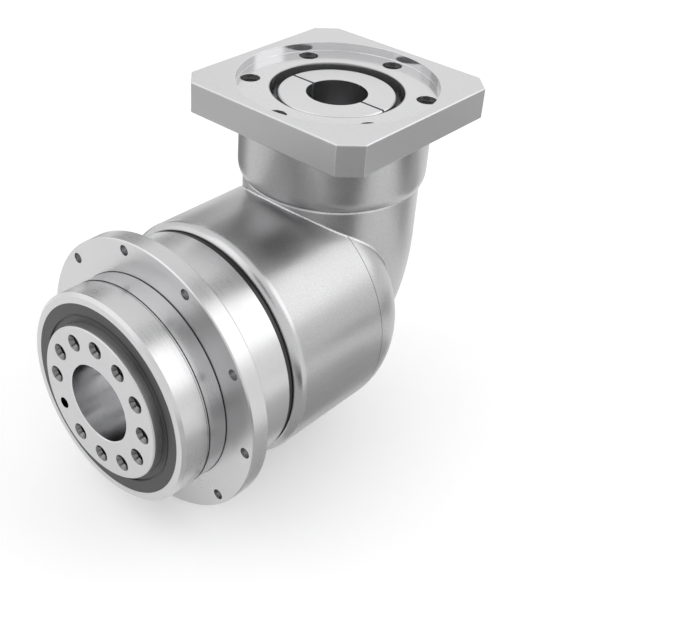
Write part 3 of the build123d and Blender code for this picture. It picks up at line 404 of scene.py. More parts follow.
def blasted_casting(name, colour, roughness, grain_width):
    """Cast aluminium blasted with glass beads: a soft sheen broken by an even, very fine grain.

    Its edges and creases are rounded in shading and painted brighter, a painted highlight. A thin
    line of painted shade runs round the barrel at its parting line. The grain is drawn coarser than
    real blasting, because that is too fine to show.
    """
    edge_radius, edge_painted_highlight, edge_polish = 1.5 * MM, 1.85, 0.12
    parting_line = (103.0 * MM, 0.22 * MM, 64.85 * MM, 0.35 * MM)
    parting_painted_shade, cloud_width, grain_relief = 0.35, 35 * MM, 0.04 * MM
    material, tree = start_material(name)
    place = place_in_object(tree, ON_OUTPUT_AXIS)
    fine = add_node(
        tree, "ShaderNodeTexNoise", {"Scale": 1.0 / grain_width, "Detail": 3.0, "Roughness": 0.65},
        {"Vector": place},
    )
    clouds = add_node(
        tree, "ShaderNodeTexNoise", {"Scale": 1.0 / cloud_width, "Detail": 3.0}, {"Vector": place}
    )
    tint = add_node(tree, "ShaderNodeMix", {"data_type": "RGBA"}, {"Factor": clouds.outputs["Fac"]})
    tint.inputs["A"].default_value = shade_of(colour, 0.94)
    tint.inputs["B"].default_value = shade_of(colour, 1.0)
    speckle = add_node(
        tree, "ShaderNodeMix", {"data_type": "RGBA", "blend_type": "MULTIPLY"},
        {"A": tint.outputs["Result"]},
    )
    speckle.inputs["Factor"].default_value = 1.0
    grains = add_node(
        tree, "ShaderNodeMapRange", {"From Min": 0.35, "From Max": 0.65, "To Min": 0.85, "To Max": 1.06},
        {"Value": fine.outputs["Fac"]},
    )
    tree.links.new(grains.outputs[0], speckle.inputs["B"])
    rounded = add_node(tree, "ShaderNodeBevel", {"samples": 6, "Radius": edge_radius})
    # Painted highlight: edges and creases are painted 1.85 times brighter, and made smoother.
    blotches_and_edge_highlight = edges_and_creases(tree, rounded)
    # Painted shade: a thin line along the parting line is painted to 0.35 of its colour.
    parting = ring_band(tree, place, *parting_line)
    brightness = add_node(
        tree, "ShaderNodeMath", {"operation": "MULTIPLY"},
        {
            0: mix_numbers(tree, parting, 1.0, parting_painted_shade),
            1: mix_numbers(tree, blotches_and_edge_highlight, 1.0, edge_painted_highlight),
        },
    )
    shaded = add_node(
        tree, "ShaderNodeVectorMath", {"operation": "SCALE"},
        {0: speckle.outputs["Result"], "Scale": brightness},
    )
    cloud_rough = add_node(
        tree, "ShaderNodeMapRange",
        {"From Min": 0.3, "From Max": 0.7, "To Min": roughness - 0.04, "To Max": roughness + 0.04},
        {"Value": clouds.outputs["Fac"]},
    )
    rough = add_node(
        tree, "ShaderNodeMath", {"operation": "SUBTRACT", "use_clamp": True},
        {0: cloud_rough.outputs[0], 1: mix_numbers(tree, blotches_and_edge_highlight, 0.0, edge_polish)},
    )
    bump = add_node(
        tree, "ShaderNodeBump", {"Strength": 0.6, "Distance": grain_relief},
        {"Height": fine.outputs["Fac"], "Normal": rounded},
    )
    shader = add_node(
        tree, "ShaderNodeBsdfPrincipled", {"Metallic": 1.0},
        {"Base Color": shaded, "Roughness": rough, "Normal": bump},
    )
    end_material(tree, shader)
    return material


def milled_plate(name, colour, roughness, recess_radius, recess_top, recess_roughness, side_painted_shade):
    """Milled aluminium plate: a satin top with faint cutter arcs, a bright recess and greyer sides."""
    # Painted shade: the plate's bore walls are painted to 0.6 of their colour.
    bore_radius, bore_painted_light = 35.2 * MM, 0.6
    grain_width, arc_spacing, arc_centre = 0.6 * MM, 1.2 * MM, Vector((0.09, -0.16, 0))
    edge_radius, edge_painted_highlight, cut_relief = 0.5 * MM, 1.3, 0.02 * MM
    material, tree = start_material(name)
    place = place_in_object(tree, INPUT_AXIS)
    grain = add_node(
        tree, "ShaderNodeTexNoise", {"Scale": 1.0 / grain_width, "Detail": 2.0, "Roughness": 0.7},
        {"Vector": place},
    )
    arcs_place = lathe_place(tree, "Z", INPUT_AXIS + arc_centre, arc_spacing)
    arcs = add_node(
        tree, "ShaderNodeTexNoise", {"Scale": 1.0, "Detail": 2.0}, {"Vector": arcs_place}
    )
    both = add_node(
        tree, "ShaderNodeMath", {"operation": "MULTIPLY_ADD", 1: 0.35},
        {0: arcs.outputs["Fac"], 2: grain.outputs["Fac"]},
    )
    tint = add_node(tree, "ShaderNodeMix", {"data_type": "RGBA"}, {"Factor": grain.outputs["Fac"]})
    tint.inputs["A"].default_value = shade_of(colour, 0.82)
    tint.inputs["B"].default_value = shade_of(colour, 1.08)
    marks_place = lathe_place(tree, "Z", INPUT_AXIS, MM)
    in_bore = within_radius(tree, marks_place, bore_radius, MM)
    bore_painted_shadow = mix_numbers(tree, in_bore, 1.0, bore_painted_light)
    split = add_node(tree, "ShaderNodeSeparateXYZ", links={0: place})
    below_top = add_node(
        tree, "ShaderNodeMath", {"operation": "LESS_THAN", 1: recess_top}, {0: split.outputs["Z"]}
    )
    near_axis = within_radius(tree, marks_place, recess_radius, MM)
    in_recess = add_node(
        tree, "ShaderNodeMath", {"operation": "MULTIPLY"}, {0: below_top, 1: near_axis}
    )
    on_side = add_node(
        tree, "ShaderNodeMath", {"operation": "SUBTRACT", "use_clamp": True}, {0: below_top, 1: near_axis}
    )
    rounded = add_node(tree, "ShaderNodeBevel", {"samples": 6, "Radius": edge_radius})
    # Painted highlight: the plate's edges are painted 1.3 times brighter.
    blotches_and_edge_highlight = edges_and_creases(tree, rounded)
    # Painted shade: the sides below the top are painted darker by the side shade.
    face_shade = add_node(
        tree, "ShaderNodeMath", {"operation": "MULTIPLY"},
        {0: bore_painted_shadow, 1: mix_numbers(tree, on_side, 1.0, side_painted_shade)},
    )
    brightness = add_node(
        tree, "ShaderNodeMath", {"operation": "MULTIPLY"},
        {0: face_shade, 1: mix_numbers(tree, blotches_and_edge_highlight, 1.0, edge_painted_highlight)},
    )
    shaded = add_node(
        tree, "ShaderNodeVectorMath", {"operation": "SCALE"},
        {0: tint.outputs["Result"], "Scale": brightness},
    )
    grain_rough = add_node(
        tree, "ShaderNodeMapRange", {"From Min": 0.3, "From Max": 0.9, "To Min": -0.05, "To Max": 0.05},
        {"Value": both.outputs[0]},
    )
    rough = add_node(
        tree, "ShaderNodeMath", {"operation": "ADD", "use_clamp": True},
        {0: grain_rough.outputs[0], 1: mix_numbers(tree, in_recess, roughness, recess_roughness)},
    )
    bump = add_node(
        tree, "ShaderNodeBump", {"Distance": cut_relief},
        {
            "Height": both.outputs[0], "Strength": mix_numbers(tree, in_recess, 0.5, 0.1),
            "Normal": rounded,
        },
    )
    shader = add_node(
        tree, "ShaderNodeBsdfPrincipled", {"Metallic": 0.85},
        {"Base Color": shaded, "Roughness": rough, "Normal": bump},
    )
    end_material(tree, shader)
    return material


def moulded_rubber(name, colour, along, centre):
    """Moulded nitrile rubber: dark and dull, with faint rings left by the mould's turning."""
    ring_spacing, dust_width, ring_relief = 0.8 * MM, 2.5 * MM, 0.04 * MM
    material, tree = start_material(name)
    rings = add_node(
        tree, "ShaderNodeTexNoise", {"Scale": 1.0, "Detail": 1.0},
        {"Vector": lathe_place(tree, along, centre, ring_spacing)},
    )
    dust = add_node(
        tree, "ShaderNodeTexNoise", {"Scale": 1.0 / dust_width, "Detail": 4.0},
        {"Vector": place_in_object(tree, centre)},
    )
    tint = add_node(tree, "ShaderNodeMix", {"data_type": "RGBA"}, {"Factor": dust.outputs["Fac"]})
    tint.inputs["A"].default_value = shade_of(colour, 0.8)
    tint.inputs["B"].default_value = shade_of(colour, 1.15)
    bump = add_node(
        tree, "ShaderNodeBump", {"Strength": 0.6, "Distance": ring_relief},
        {"Height": rings.outputs["Fac"]},
    )
    rough = add_node(
        tree, "ShaderNodeMapRange", {"To Min": 0.26, "To Max": 0.36}, {"Value": dust.outputs["Fac"]}
    )
    shader = add_node(
        tree, "ShaderNodeBsdfPrincipled", {"IOR": 1.52},
        {"Base Color": tint.outputs["Result"], "Roughness": rough.outputs[0], "Normal": bump},
    )
    end_material(tree, shader)
    return material


def oxidised_steel(name, colour):
    """Black-oxide screw steel: nearly black, with an oily sheen that varies in soft spots."""
    spot_width, spot_relief = 1.5 * MM, 0.02 * MM
    material, tree = start_material(name)
    spots = add_node(
        tree, "ShaderNodeTexNoise", {"Scale": 1.0 / spot_width, "Detail": 3.0},
        {"Vector": place_in_object(tree, ON_OUTPUT_AXIS)},
    )
    tint = add_node(tree, "ShaderNodeMix", {"data_type": "RGBA"}, {"Factor": spots.outputs["Fac"]})
    tint.inputs["A"].default_value = shade_of(colour, 0.7)
    tint.inputs["B"].default_value = shade_of(colour, 1.3)
    rough = add_node(
        tree, "ShaderNodeMapRange", {"To Min": 0.25, "To Max": 0.45}, {"Value": spots.outputs["Fac"]}
    )
    bump = add_node(
        tree, "ShaderNodeBump", {"Strength": 0.3, "Distance": spot_relief},
        {"Height": spots.outputs["Fac"]},
    )
    shader = add_node(
        tree, "ShaderNodeBsdfPrincipled", {"Metallic": 0.9},
        {"Base Color": tint.outputs["Result"], "Roughness": rough.outputs[0], "Normal": bump},
    )
    end_material(tree, shader)
    return material


def dress(node, material):
    """Gives a CAD node one finish in its material slots."""
    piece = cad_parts[node]
    piece.data.materials.clear()
    piece.data.materials.append(material)


def nodes_like(*words):
    """The CAD nodes whose names hold any of the words."""
    return [name for name in sorted(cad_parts) if any(word in name for word in words)]


def new_piece(name, vertices, faces, material, body, smooth=True):
    """A mesh piece in the gearbox's own frame, which rides on one of its bodies."""
    mesh = bpy.data.meshes.new(name)
    mesh.from_pydata([tuple(v) for v in vertices], [], faces)
    mesh.update()
    if smooth:
        mesh.shade_smooth()
    piece = bpy.data.objects.new(name, mesh)
    bpy.context.scene.collection.objects.link(piece)
    mesh.materials.append(material)
    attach(piece, body)


def turned_mesh(profile, sides):
    """A profile of radius and place along the output axis, turned about that axis."""
    vertices, faces = [], []
    for side in range(sides):
        angle = 2 * math.pi * side / sides
        for point in profile:
            vertices.append(Vector((point.x * math.sin(angle), point.y, point.x * math.cos(angle))))
    rows = len(profile)
    for side in range(sides):
        here, there = side * rows, (side + 1) % sides * rows
        for row in range(rows - 1):
            faces.append((here + row, here + row + 1, there + row + 1, there + row))
    return vertices, faces


# Pieces

class GEARBOX_OT_casting(bpy.types.Operator):
    """Finish the elbow casting with its blasted surface"""

    bl_idname = "gearbox.casting"
    bl_label = "Elbow casting"

    def execute(self, context):
        finish = context.scene.gearbox_finish
        casting = blasted_casting(
            "bead_blasted_cast_aluminium", finish.casting_colour, finish.casting_roughness,
            finish.casting_grain,
        )
        dress("elbow_housing", casting)
        turned = turned_metal(
            "turned_cast_aluminium", finish.lip_colour, finish.lip_roughness, "Y", ON_OUTPUT_AXIS,
            finish.turned_feed,
        )
        self.lip(context.scene.gearbox_detail, turned)
        return {"FINISHED"}

    def lip(self, detail, material):
        """The barrel's rounded lip: an arc from its mouth out to just over its full radius."""
        barrel_radius, proud, tail = 65.0 * MM, 0.07 * MM, 0.25 * MM
        inner_radius = 61.6 * MM
        mouth = Vector((detail.lip_mouth_radius, detail.lip_front))
        rim = Vector((barrel_radius + proud, detail.lip_back))
        out = Vector((rim.y - mouth.y, mouth.x - rim.x)).normalized()
        profile = [Vector((inner_radius, detail.lip_front))]
        steps = 10
        for step in range(steps + 1):
            share = step / steps
            profile.append(mouth.lerp(rim, share) + out * detail.lip_bulge * 4 * share * (1 - share))
        profile.append(rim + Vector((0.0, tail)))
        vertices, faces = turned_mesh(profile, ROUND_SIDES)
        new_piece("barrel_front_lip", vertices, faces, material, "housing")


class GEARBOX_OT_output_housing(bpy.types.Operator):
    """Finish the output housing as turned steel"""

    bl_idname = "gearbox.output_housing"
    bl_label = "Output housing"

    def execute(self, context):
        finish = context.scene.gearbox_finish
        # Lines of painted shade, each as its place on the axis, half width, radius and slack: the register
        # groove's two edges, and the corner where the register meets the flange.
        groove_edges = [(y * MM, 0.2 * MM, 54.8 * MM, 0.35 * MM) for y in (-11.6, -10.4)]
        flange_corner = (-0.25 * MM, 0.28 * MM, 55.0 * MM, 0.3 * MM)
        steel = turned_metal(
            "fine_turned_steel", finish.turned_colour, finish.turned_roughness, "Y", ON_OUTPUT_AXIS,
            finish.turned_feed, lines=groove_edges + [flange_corner],
        )
        dress("output_housing", steel)
        dress("rear_housing_ring", steel)
        return {"FINISHED"}


def round_cutters(places, profile, sides):
    """Closed turned shapes along the output axis, one at each place, for cutting."""
    vertices, faces = [], []
    for place in places:
        first = len(vertices)
        for radius, y in profile:
            for side in range(sides):
                angle = 2 * math.pi * side / sides
                vertices.append(place + Vector((radius * math.sin(angle), y, radius * math.cos(angle))))
        for row in range(len(profile) - 1):
            for side in range(sides):
                here, there = first + row * sides, first + (row + 1) * sides
                after = (side + 1) % sides
                faces.append((here + side, here + after, there + after, there + side))
        last = first + (len(profile) - 1) * sides
        faces.append(tuple(range(first + sides - 1, first - 1, -1)))
        faces.append(tuple(range(last, last + sides)))
    return vertices, faces


def cut_copy(node, name, cutters):
    """A copy of a CAD node's mesh with the cutters taken out of it. Its edges stay sharp."""
    sharp_from = math.radians(25)
    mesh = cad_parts[node].data.copy()
    mesh.attributes.remove(mesh.attributes["custom_normal"])
    blank = bpy.data.objects.new(name, mesh)
    bpy.context.scene.collection.objects.link(blank)
    tools = []
    for vertices, faces in cutters:
        tool_mesh = bpy.data.meshes.new("cutter")
        tool_mesh.from_pydata([tuple(v) for v in vertices], [], faces)
        tool = bpy.data.objects.new("cutter", tool_mesh)
        bpy.context.scene.collection.objects.link(tool)
        cut = blank.modifiers.new("cut", "BOOLEAN")
        cut.operation = "DIFFERENCE"
        cut.solver = "EXACT"
        cut.object = tool
        tools.append(tool)
    graph = bpy.context.evaluated_depsgraph_get()
    result = bpy.data.meshes.new_from_object(blank.evaluated_get(graph), depsgraph=graph)
    blank.modifiers.clear()
    blank.data = result
    result.shade_smooth()
    result.set_sharp_from_angle(angle=sharp_from)
    for tool in tools:
        bpy.data.objects.remove(tool)
    return blank


def screw_places(detail):
    """The middles of the output flange's screw holes, without the dowel hole."""
    places = []
    for place in range(detail.output_holes):
        if place != detail.dowel_place:
            angle = math.radians(-90 + 360.0 * place / detail.output_holes)
            places.append(detail.output_circle * Vector((math.cos(angle), 0.0, -math.sin(angle))))
    return places


class GEARBOX_OT_output_flange(bpy.types.Operator):
    """Finish the output flange, widen the mouths of its holes and smooth its bore"""

    bl_idname = "gearbox.output_flange"
    bl_label = "Output flange"

    def execute(self, context):
        finish = context.scene.gearbox_finish
        detail = context.scene.gearbox_detail
        # Painted light: the bore's colour is lifted 1.12 times, standing in for light inside it.
        bore, bore_end, bore_edge, bore_painted_lift = 20.15 * MM, -5.02 * MM, 20.6 * MM, 1.12
        under_face, holes_half_depth, holes_half_width = 0.1 * MM, 6.5 * MM, 4.6 * MM
        # The hole band paints the screw holes to 0.3 of their colour, a painted shade.
        steel = turned_metal(
            "lathe_faced_steel", finish.turned_colour, finish.faced_roughness, "Y", ON_OUTPUT_AXIS,
            finish.turned_feed, bore=(bore_edge, finish.bored_roughness, bore_painted_lift),
            hole_band=(OUTPUT_FACE_Y + under_face + holes_half_depth, holes_half_depth,
                       detail.output_circle, holes_half_width),
        )
        dress("output_carrier", steel)
        mouth, foot = detail.countersink_radius, 2.9 * MM
        face, edge, before = OUTPUT_FACE_Y, 0.35 * MM, 0.5 * MM
        hole_sides, bore_sides = 40, 160
        countersink = [
            (mouth + before, face - before), (mouth - edge, face + edge),
            (foot, face + detail.countersink_depth),
        ]
        bore_profile = [
            (bore + edge + before, face - before), (bore, face + edge), (bore, bore_end),
        ]
        flange = cut_copy("output_carrier", "countersunk_output_flange", (
            round_cutters(screw_places(detail), countersink, hole_sides),
            round_cutters([Vector(ON_OUTPUT_AXIS)], bore_profile, bore_sides),
        ))
        flange.data.materials.clear()
        flange.data.materials.append(steel)
        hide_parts("output_carrier")
        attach(flange, "carrier")
        return {"FINISHED"}


class GEARBOX_OT_output_threads(bpy.types.Operator):
    """Cut a thread ridge into each screw hole of the output flange"""

    bl_idname = "gearbox.output_threads"
    bl_label = "Output threads"

    def execute(self, context):
        finish = context.scene.gearbox_finish
        detail = context.scene.gearbox_detail
        # The threads' colour is painted dark, a painted shade inside the holes.
        steel = turned_metal(
            "tapped_steel", finish.tapped_shaded_colour, finish.turned_roughness, "Y", ON_OUTPUT_AXIS,
            finish.turned_feed,
        )
        nominal_radius, inside_wall = 3.0 * MM, 0.02 * MM
        bore = nominal_radius - inside_wall
        start = OUTPUT_FACE_Y + detail.countersink_depth + detail.thread_pitch / 2
        foot = 0.45 * detail.thread_pitch
        ridge = ((0.0, -foot), (detail.thread_depth, 0.0), (0.0, foot))
        sides = 20
        steps = int(detail.thread_length / detail.thread_pitch * sides)
        vertices, faces = [], []
        for middle in screw_places(detail):
            first = len(vertices)
            for step in range(steps + 1):
                around = 2 * math.pi * step / sides
                y = start + detail.thread_pitch * step / sides
                for reach, offset in ridge:
                    radius = bore - reach
                    vertices.append(middle + Vector((
                        radius * math.cos(around), y + offset, radius * math.sin(around),
                    )))
            for step in range(steps):
                low = first + 3 * step
                for k in (0, 1):
                    faces.append((low + k, low + k + 1, low + k + 4, low + k + 3))
        new_piece("output_screw_threads", vertices, faces, steel, "carrier", smooth=False)
        return {"FINISHED"}


class GEARBOX_OT_seals(bpy.types.Operator):
    """Finish the shaft seals and the ring between the housings"""

    bl_idname = "gearbox.seals"
    bl_label = "Seals"

    def execute(self, context):
        finish = context.scene.gearbox_finish
        for node, colour, along, centre in (
            ("output_seal", finish.rubber_colour, "Y", ON_OUTPUT_AXIS),
            ("housing_sealing_ring", finish.ring_colour, "Y", ON_OUTPUT_AXIS),
            ("input_seal", finish.rubber_colour, "Z", tuple(INPUT_AXIS)),
        ):
            dress(node, moulded_rubber(f"moulded_nitrile_{node}", colour, along, centre))
        self.output_lip(finish)
        return {"FINISHED"}

    def output_lip(self, finish):
        """The raised round lip on the face of the output seal."""
        seal_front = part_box("output_seal")[0].y
        middle, half_width, height, root = 43.7 * MM, 0.6 * MM, 0.45 * MM, 0.5 * MM
        profile = [Vector((middle - half_width, seal_front + root))]
        steps = 8
        for step in range(steps + 1):
            turn = math.pi * step / steps
            profile.append(Vector((
                middle - half_width * math.cos(turn), seal_front - height * math.sin(turn)
            )))
        rubber = moulded_rubber("moulded_nitrile_lip", finish.ring_colour, "Y", ON_OUTPUT_AXIS)
        vertices, faces = turned_mesh(profile, ROUND_SIDES)
        new_piece("output_seal_lip", vertices, faces, rubber, "housing")


class GEARBOX_OT_motor_plate(bpy.types.Operator):
    """Finish the square motor plate"""

    bl_idname = "gearbox.motor_plate"
    bl_label = "Motor plate"

    def execute(self, context):
        finish = context.scene.gearbox_finish
        recess_radius, top_edge = 52.4 * MM, 0.4 * MM
        dress("adapter_plate", milled_plate(
            "milled_aluminium_plate", finish.plate_colour, finish.plate_roughness, recess_radius,
            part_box("adapter_plate")[1].z - top_edge, finish.recess_roughness, finish.side_painted_shade,
        ))
        return {"FINISHED"}


class GEARBOX_OT_clamping_hub(bpy.types.Operator):
    """Finish the clamping hub and pinion shaft"""

    bl_idname = "gearbox.clamping_hub"
    bl_label = "Clamping hub"

    def execute(self, context):
        finish = context.scene.gearbox_finish
        # Painted light: the shaft bore's colour is lifted 1.2 times, standing in for light inside it.
        shaft_bore, bore_painted_lift = 16.1 * MM, 1.2
        dress("input_pinion_shaft", turned_metal(
            "ground_hub_steel", finish.plate_colour, finish.hub_roughness, "Z", INPUT_AXIS,
            finish.turned_feed, (shaft_bore, finish.bored_roughness, bore_painted_lift),
        ))
        return {"FINISHED"}


class GEARBOX_OT_screws(bpy.types.Operator):
    """Finish the socket screws and the access plug"""

    bl_idname = "gearbox.screws"
    bl_label = "Screws and plug"

    def execute(self, context):
        finish = context.scene.gearbox_finish
        plug_middle = (-23 * MM, 0.0, 105.8 * MM)
        black = oxidised_steel("black_oxide_screw_steel", finish.oxide_colour)
        for node in ("adapter_screws", "sleeve_screws", "clamp_screw"):
            dress(node, black)
        dress("access_plug", moulded_rubber(
            "moulded_plug_nylon", finish.oxide_colour, "Y", plug_middle
        ))
        return {"FINISHED"}


class GEARBOX_OT_output_line(bpy.types.Operator):
    """Finish the gears, races, sleeves and nuts on the output line"""

    bl_idname = "gearbox.output_line"
    bl_label = "Output line inside"

    def execute(self, context):
        finish = context.scene.gearbox_finish
        hard = turned_metal(
            "hardened_ground_steel", finish.hardened_colour, finish.gear_roughness, "Y",
            ON_OUTPUT_AXIS, finish.turned_feed,
        )
        cage = turned_metal(
            "pressed_sheet_cage", finish.cage_colour, finish.cage_roughness, "Y", ON_OUTPUT_AXIS,
            finish.turned_feed,
        )
        for node in nodes_like("planet_", "main_bearing", "sun_", "bevel_gear", "sleeve_retaining",
                               "carrier_locknut", "ring_gear"):
            dress(node, cage if node.endswith("_cage") else hard)
        return {"FINISHED"}


class GEARBOX_OT_input_line(bpy.types.Operator):
    """Finish the bearings, sleeve and nut on the input line"""

    bl_idname = "gearbox.input_line"
    bl_label = "Input line inside"

    def execute(self, context):
        finish = context.scene.gearbox_finish
        hard = turned_metal(
            "ground_bearing_steel", finish.hardened_colour, finish.race_roughness, "Z", INPUT_AXIS,
            finish.turned_feed,
        )
        cage = turned_metal(
            "pressed_ball_cage", finish.cage_colour, finish.cage_roughness, "Z", INPUT_AXIS,
            finish.turned_feed,
        )
        for node in nodes_like("input_bearing", "input_locknut"):
            dress(node, cage if node.endswith("_cage") else hard)
        return {"FINISHED"}


def area_lamp(name, location, size, power):
    """A soft rectangular lamp that looks at the gearbox."""
    lamp = bpy.data.lights.new(name, "AREA")
    lamp.shape = "RECTANGLE"
    lamp.size, lamp.size_y = size
    lamp.energy = power
    holder = bpy.data.objects.new(name, lamp)
    holder.location = location
    look = Vector(GEARBOX_MIDDLE) - Vector(location)
    holder.rotation_euler = look.to_track_quat("-Z", "Y").to_euler()
    bpy.context.scene.collection.objects.link(holder)


def stage_card(name, centre, aim, size, material):
    """A flat card of the studio, seen only in reflections."""
    mesh = bpy.data.meshes.new(name)
    half_x, half_y = size[0] / 2, size[1] / 2
    mesh.from_pydata(
        [(-half_x, -half_y, 0), (half_x, -half_y, 0), (half_x, half_y, 0), (-half_x, half_y, 0)], [],
        [(0, 1, 2, 3)],
    )
    mesh.materials.append(material)
    card = bpy.data.objects.new(name, mesh)
    card.location = centre
    card.rotation_euler = (Vector(aim) - Vector(centre)).to_track_quat("Z", "Y").to_euler()
    card.visible_camera = False
    card.visible_shadow = False
    card.visible_diffuse = False
    bpy.context.scene.collection.objects.link(card)


class GEARBOX_OT_stage(bpy.types.Operator):
    """Set the pale floor, the soft lamps and the camera"""

    bl_idname = "gearbox.stage"
    bl_label = "Studio"

    def execute(self, context):
        stage = context.scene.gearbox_stage
        self.floor(stage)
        self.world()
        self.lamps(stage)
        self.cards()
        self.camera(stage)
        context.scene.view_settings.view_transform = "Standard"
        return {"FINISHED"}

    def floor(self, stage):
        """Matt white paper. It is a little lighter to the eye than its light, and keeps its shadow."""
        reach, floor_lift, fibre_width = 6.0, 0.25, 4 * MM
        mesh = bpy.data.meshes.new("studio_floor")
        mesh.from_pydata(
            [(-reach, -reach, FLOOR_Z), (reach, -reach, FLOOR_Z), (reach, reach, FLOOR_Z),
             (-reach, reach, FLOOR_Z)], [], [(0, 1, 2, 3)],
        )
        floor = bpy.data.objects.new("studio_floor", mesh)
        bpy.context.scene.collection.objects.link(floor)
        material, tree = start_material("matt_paper_floor")
        fibres = add_node(
            tree, "ShaderNodeTexNoise", {"Scale": 1.0 / fibre_width, "Detail": 3.0},
            {"Vector": place_in_object(tree, ON_OUTPUT_AXIS)},
        )
        tint = add_node(tree, "ShaderNodeMix", {"data_type": "RGBA"}, {"Factor": fibres.outputs["Fac"]})
        tint.inputs["A"].default_value = shade_of(stage.floor_colour, 0.995)
        tint.inputs["B"].default_value = shade_of(stage.floor_colour, 1.0)
        seen = seen_directly(tree, add_node(tree, "ShaderNodeLightPath"))
        lift = add_node(tree, "ShaderNodeMath", {"operation": "MULTIPLY", 1: floor_lift}, {0: seen})
        shader = add_node(
            tree, "ShaderNodeBsdfPrincipled", {"Roughness": 0.9, "Emission Color": WHITE},
            {"Base Color": tint.outputs["Result"], "Emission Strength": lift},
        )
        end_material(tree, shader)
        mesh.materials.append(material)

    def world(self):
        """An even white room, dimmed where it only lights the gearbox."""
        room_light, room_seen = 0.75, 1.0
        world = bpy.data.worlds.new("studio")
        world.use_nodes = True
        tree = world.node_tree
        tree.nodes.clear()
        path = add_node(tree, "ShaderNodeLightPath")
        seen = add_node(
            tree, "ShaderNodeMath", {"operation": "MAXIMUM"},
            {0: seen_directly(tree, path), 1: path.outputs["Is Transmission Ray"]},
        )
        background = add_node(
            tree, "ShaderNodeBackground", {"Color": WHITE},
            {"Strength": mix_numbers(tree, seen, room_light, room_seen)},
        )
        add_node(tree, "ShaderNodeOutputWorld", links={"Surface": background})
        bpy.context.scene.world = world

    def lamps(self, stage):
        """Three soft boxes: each one's place, size and power."""
        area_lamp("key_softbox", (0.75, 0.78, 0.72), (0.9, 0.9), stage.key_power)
        area_lamp("fill_softbox", (-0.9, -0.62, 0.5), (0.9, 0.7), stage.fill_power)
        area_lamp("top_softbox", (-0.3, -0.58, 1.06), (0.9, 0.9), stage.top_power)

    def cards(self):
        """Felt cards that darken what the polished steel would mirror: centre, size and shade."""
        on_floor = FLOOR_Z + 4 * MM
        for name, centre, size, shade in (
            ("front_right_floor", (0.37, -0.12, on_floor), (0.36, 0.36), 0.12),
            ("back_right_floor", (0.37, 0.47, on_floor), (0.3, 0.34), 0.25),
            ("middle_back_floor", (0.15, 0.38, on_floor), (0.12, 0.16), 0.6),
            ("near_right_floor", (0.12, 0.03, on_floor), (0.12, 0.34), 0.68),
            ("back_left_floor", (-0.4, 0.17, on_floor), (0.3, 0.2), 0.3),
            ("front_left_floor", (-0.42, -0.34, on_floor), (0.3, 0.26), 0.35),
            ("high_back", (0.22, 0.9, 1.13), (0.5, 0.5), 0.5),
            ("high_front", (0.62, -0.9, 1.25), (0.7, 0.7), 0.25),
            ("left_back", (-0.49, 0.3, 0.2), (0.22, 0.3), 0.55),
        ):
            lies_flat = centre[2] == on_floor
            target = (centre[0], centre[1], 1.0) if lies_flat else GEARBOX_MIDDLE
            stage_card(f"{name}_card", centre, target, size, self.felt(f"{name}_felt", shade))

    def felt(self, name, shade):
        """Grey wool felt: wholly matt, with fibres in clumps 3 mm wide."""
        clump_width = 3 * MM
        material, tree = start_material(name)
        clumps = add_node(
            tree, "ShaderNodeTexNoise", {"Scale": 1.0 / clump_width},
            {"Vector": place_in_object(tree, ON_OUTPUT_AXIS)},
        )
        tint = add_node(tree, "ShaderNodeMix", {"data_type": "RGBA"}, {"Factor": clumps.outputs["Fac"]})
        tint.inputs["A"].default_value = shade_of(WHITE, shade * 0.9)
        tint.inputs["B"].default_value = shade_of(WHITE, shade * 1.1)
        shader = add_node(
            tree, "ShaderNodeBsdfPrincipled", {"Roughness": 1.0}, {"Base Color": tint.outputs["Result"]}
        )
        end_material(tree, shader)
        return material

    def camera(self, stage):
        azimuth, elevation, roll = stage.camera_azimuth, stage.camera_elevation, stage.camera_roll
        back = Vector((
            math.sin(azimuth) * math.cos(elevation), -math.cos(azimuth) * math.cos(elevation),
            math.sin(elevation),
        ))
        level_right = (-back).cross(Vector((0, 0, 1))).normalized()
        level_up = level_right.cross(-back)
        right = math.cos(roll) * level_right + math.sin(roll) * level_up
        up = -math.sin(roll) * level_right + math.cos(roll) * level_up
        place = INPUT_AXIS + stage.aim_right * right + stage.aim_up * up + stage.camera_distance * back
        data = bpy.data.cameras.new("camera")
        data.sensor_fit = "HORIZONTAL"
        data.sensor_width = 36.0
        data.lens = stage.focal_pixels / IMAGE_WIDTH * data.sensor_width
        data.shift_x = (IMAGE_WIDTH / 2 - stage.centre_x) / IMAGE_WIDTH
        data.shift_y = (stage.centre_y - IMAGE_HEIGHT / 2) / IMAGE_WIDTH
        data.clip_start = 0.01
        camera = bpy.data.objects.new("camera", data)
        turn = Matrix((right, up, back)).transposed().to_4x4()
        camera.matrix_world = Matrix.Translation(place) @ turn
        bpy.context.scene.collection.objects.link(camera)
        bpy.context.scene.camera = camera


OPERATORS = (
    GEARBOX_OT_stage,
    GEARBOX_OT_casting,
    GEARBOX_OT_output_housing,
    GEARBOX_OT_output_flange,
    GEARBOX_OT_output_threads,
    GEARBOX_OT_seals,
    GEARBOX_OT_motor_plate,
    GEARBOX_OT_clamping_hub,
    GEARBOX_OT_screws,
    GEARBOX_OT_output_line,
    GEARBOX_OT_input_line,
)


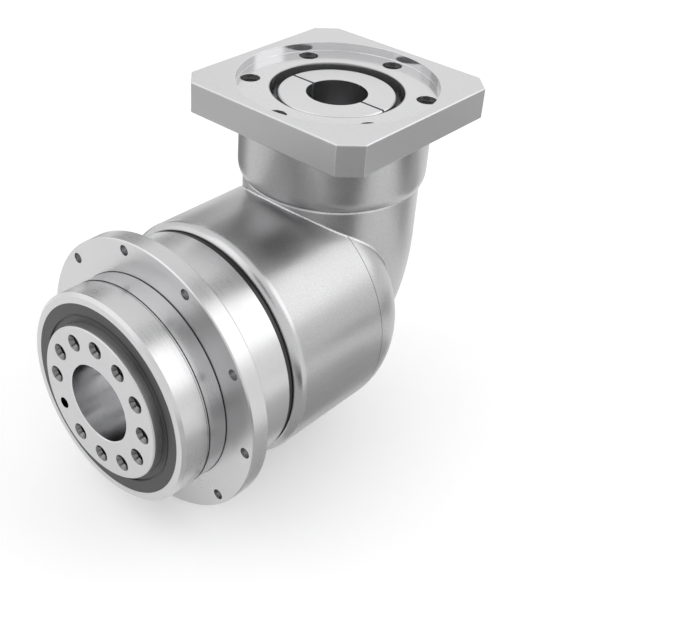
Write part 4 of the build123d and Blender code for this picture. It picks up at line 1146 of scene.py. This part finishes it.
class GEARBOX_PT_sidebar(bpy.types.Panel):
    """The gearbox's pieces and settings."""

    bl_idname = "GEARBOX_PT_sidebar"
    bl_label = "Right-angle gearbox"
    bl_space_type = "VIEW_3D"
    bl_region_type = "UI"
    bl_category = "Gearbox"

    def draw(self, context):
        column = self.layout.column(align=True)
        for operator in OPERATORS:
            column.operator(operator.bl_idname, text=operator.bl_label)
        scene = context.scene
        for group in (scene.gearbox_finish, scene.gearbox_detail, scene.gearbox_stage):
            box = self.layout.box()
            for name in group.bl_rna.properties.keys():
                if name not in ("rna_type", "name"):
                    box.prop(group, name)


CLASSES = (GearboxFinish, GearboxDetail, GearboxStage) + OPERATORS + (GEARBOX_PT_sidebar,)


def register():
    for item in CLASSES:
        bpy.utils.register_class(item)
    bpy.types.Scene.gearbox_finish = bpy.props.PointerProperty(type=GearboxFinish)
    bpy.types.Scene.gearbox_detail = bpy.props.PointerProperty(type=GearboxDetail)
    bpy.types.Scene.gearbox_stage = bpy.props.PointerProperty(type=GearboxStage)


def unregister():
    del bpy.types.Scene.gearbox_stage
    del bpy.types.Scene.gearbox_detail
    del bpy.types.Scene.gearbox_finish
    for item in reversed(CLASSES):
        bpy.utils.unregister_class(item)


def main():
    register()
    for operator in OPERATORS:
        group, name = operator.bl_idname.split(".")
        getattr(getattr(bpy.ops, group), name)()


if __name__ == "__main__":
    main()
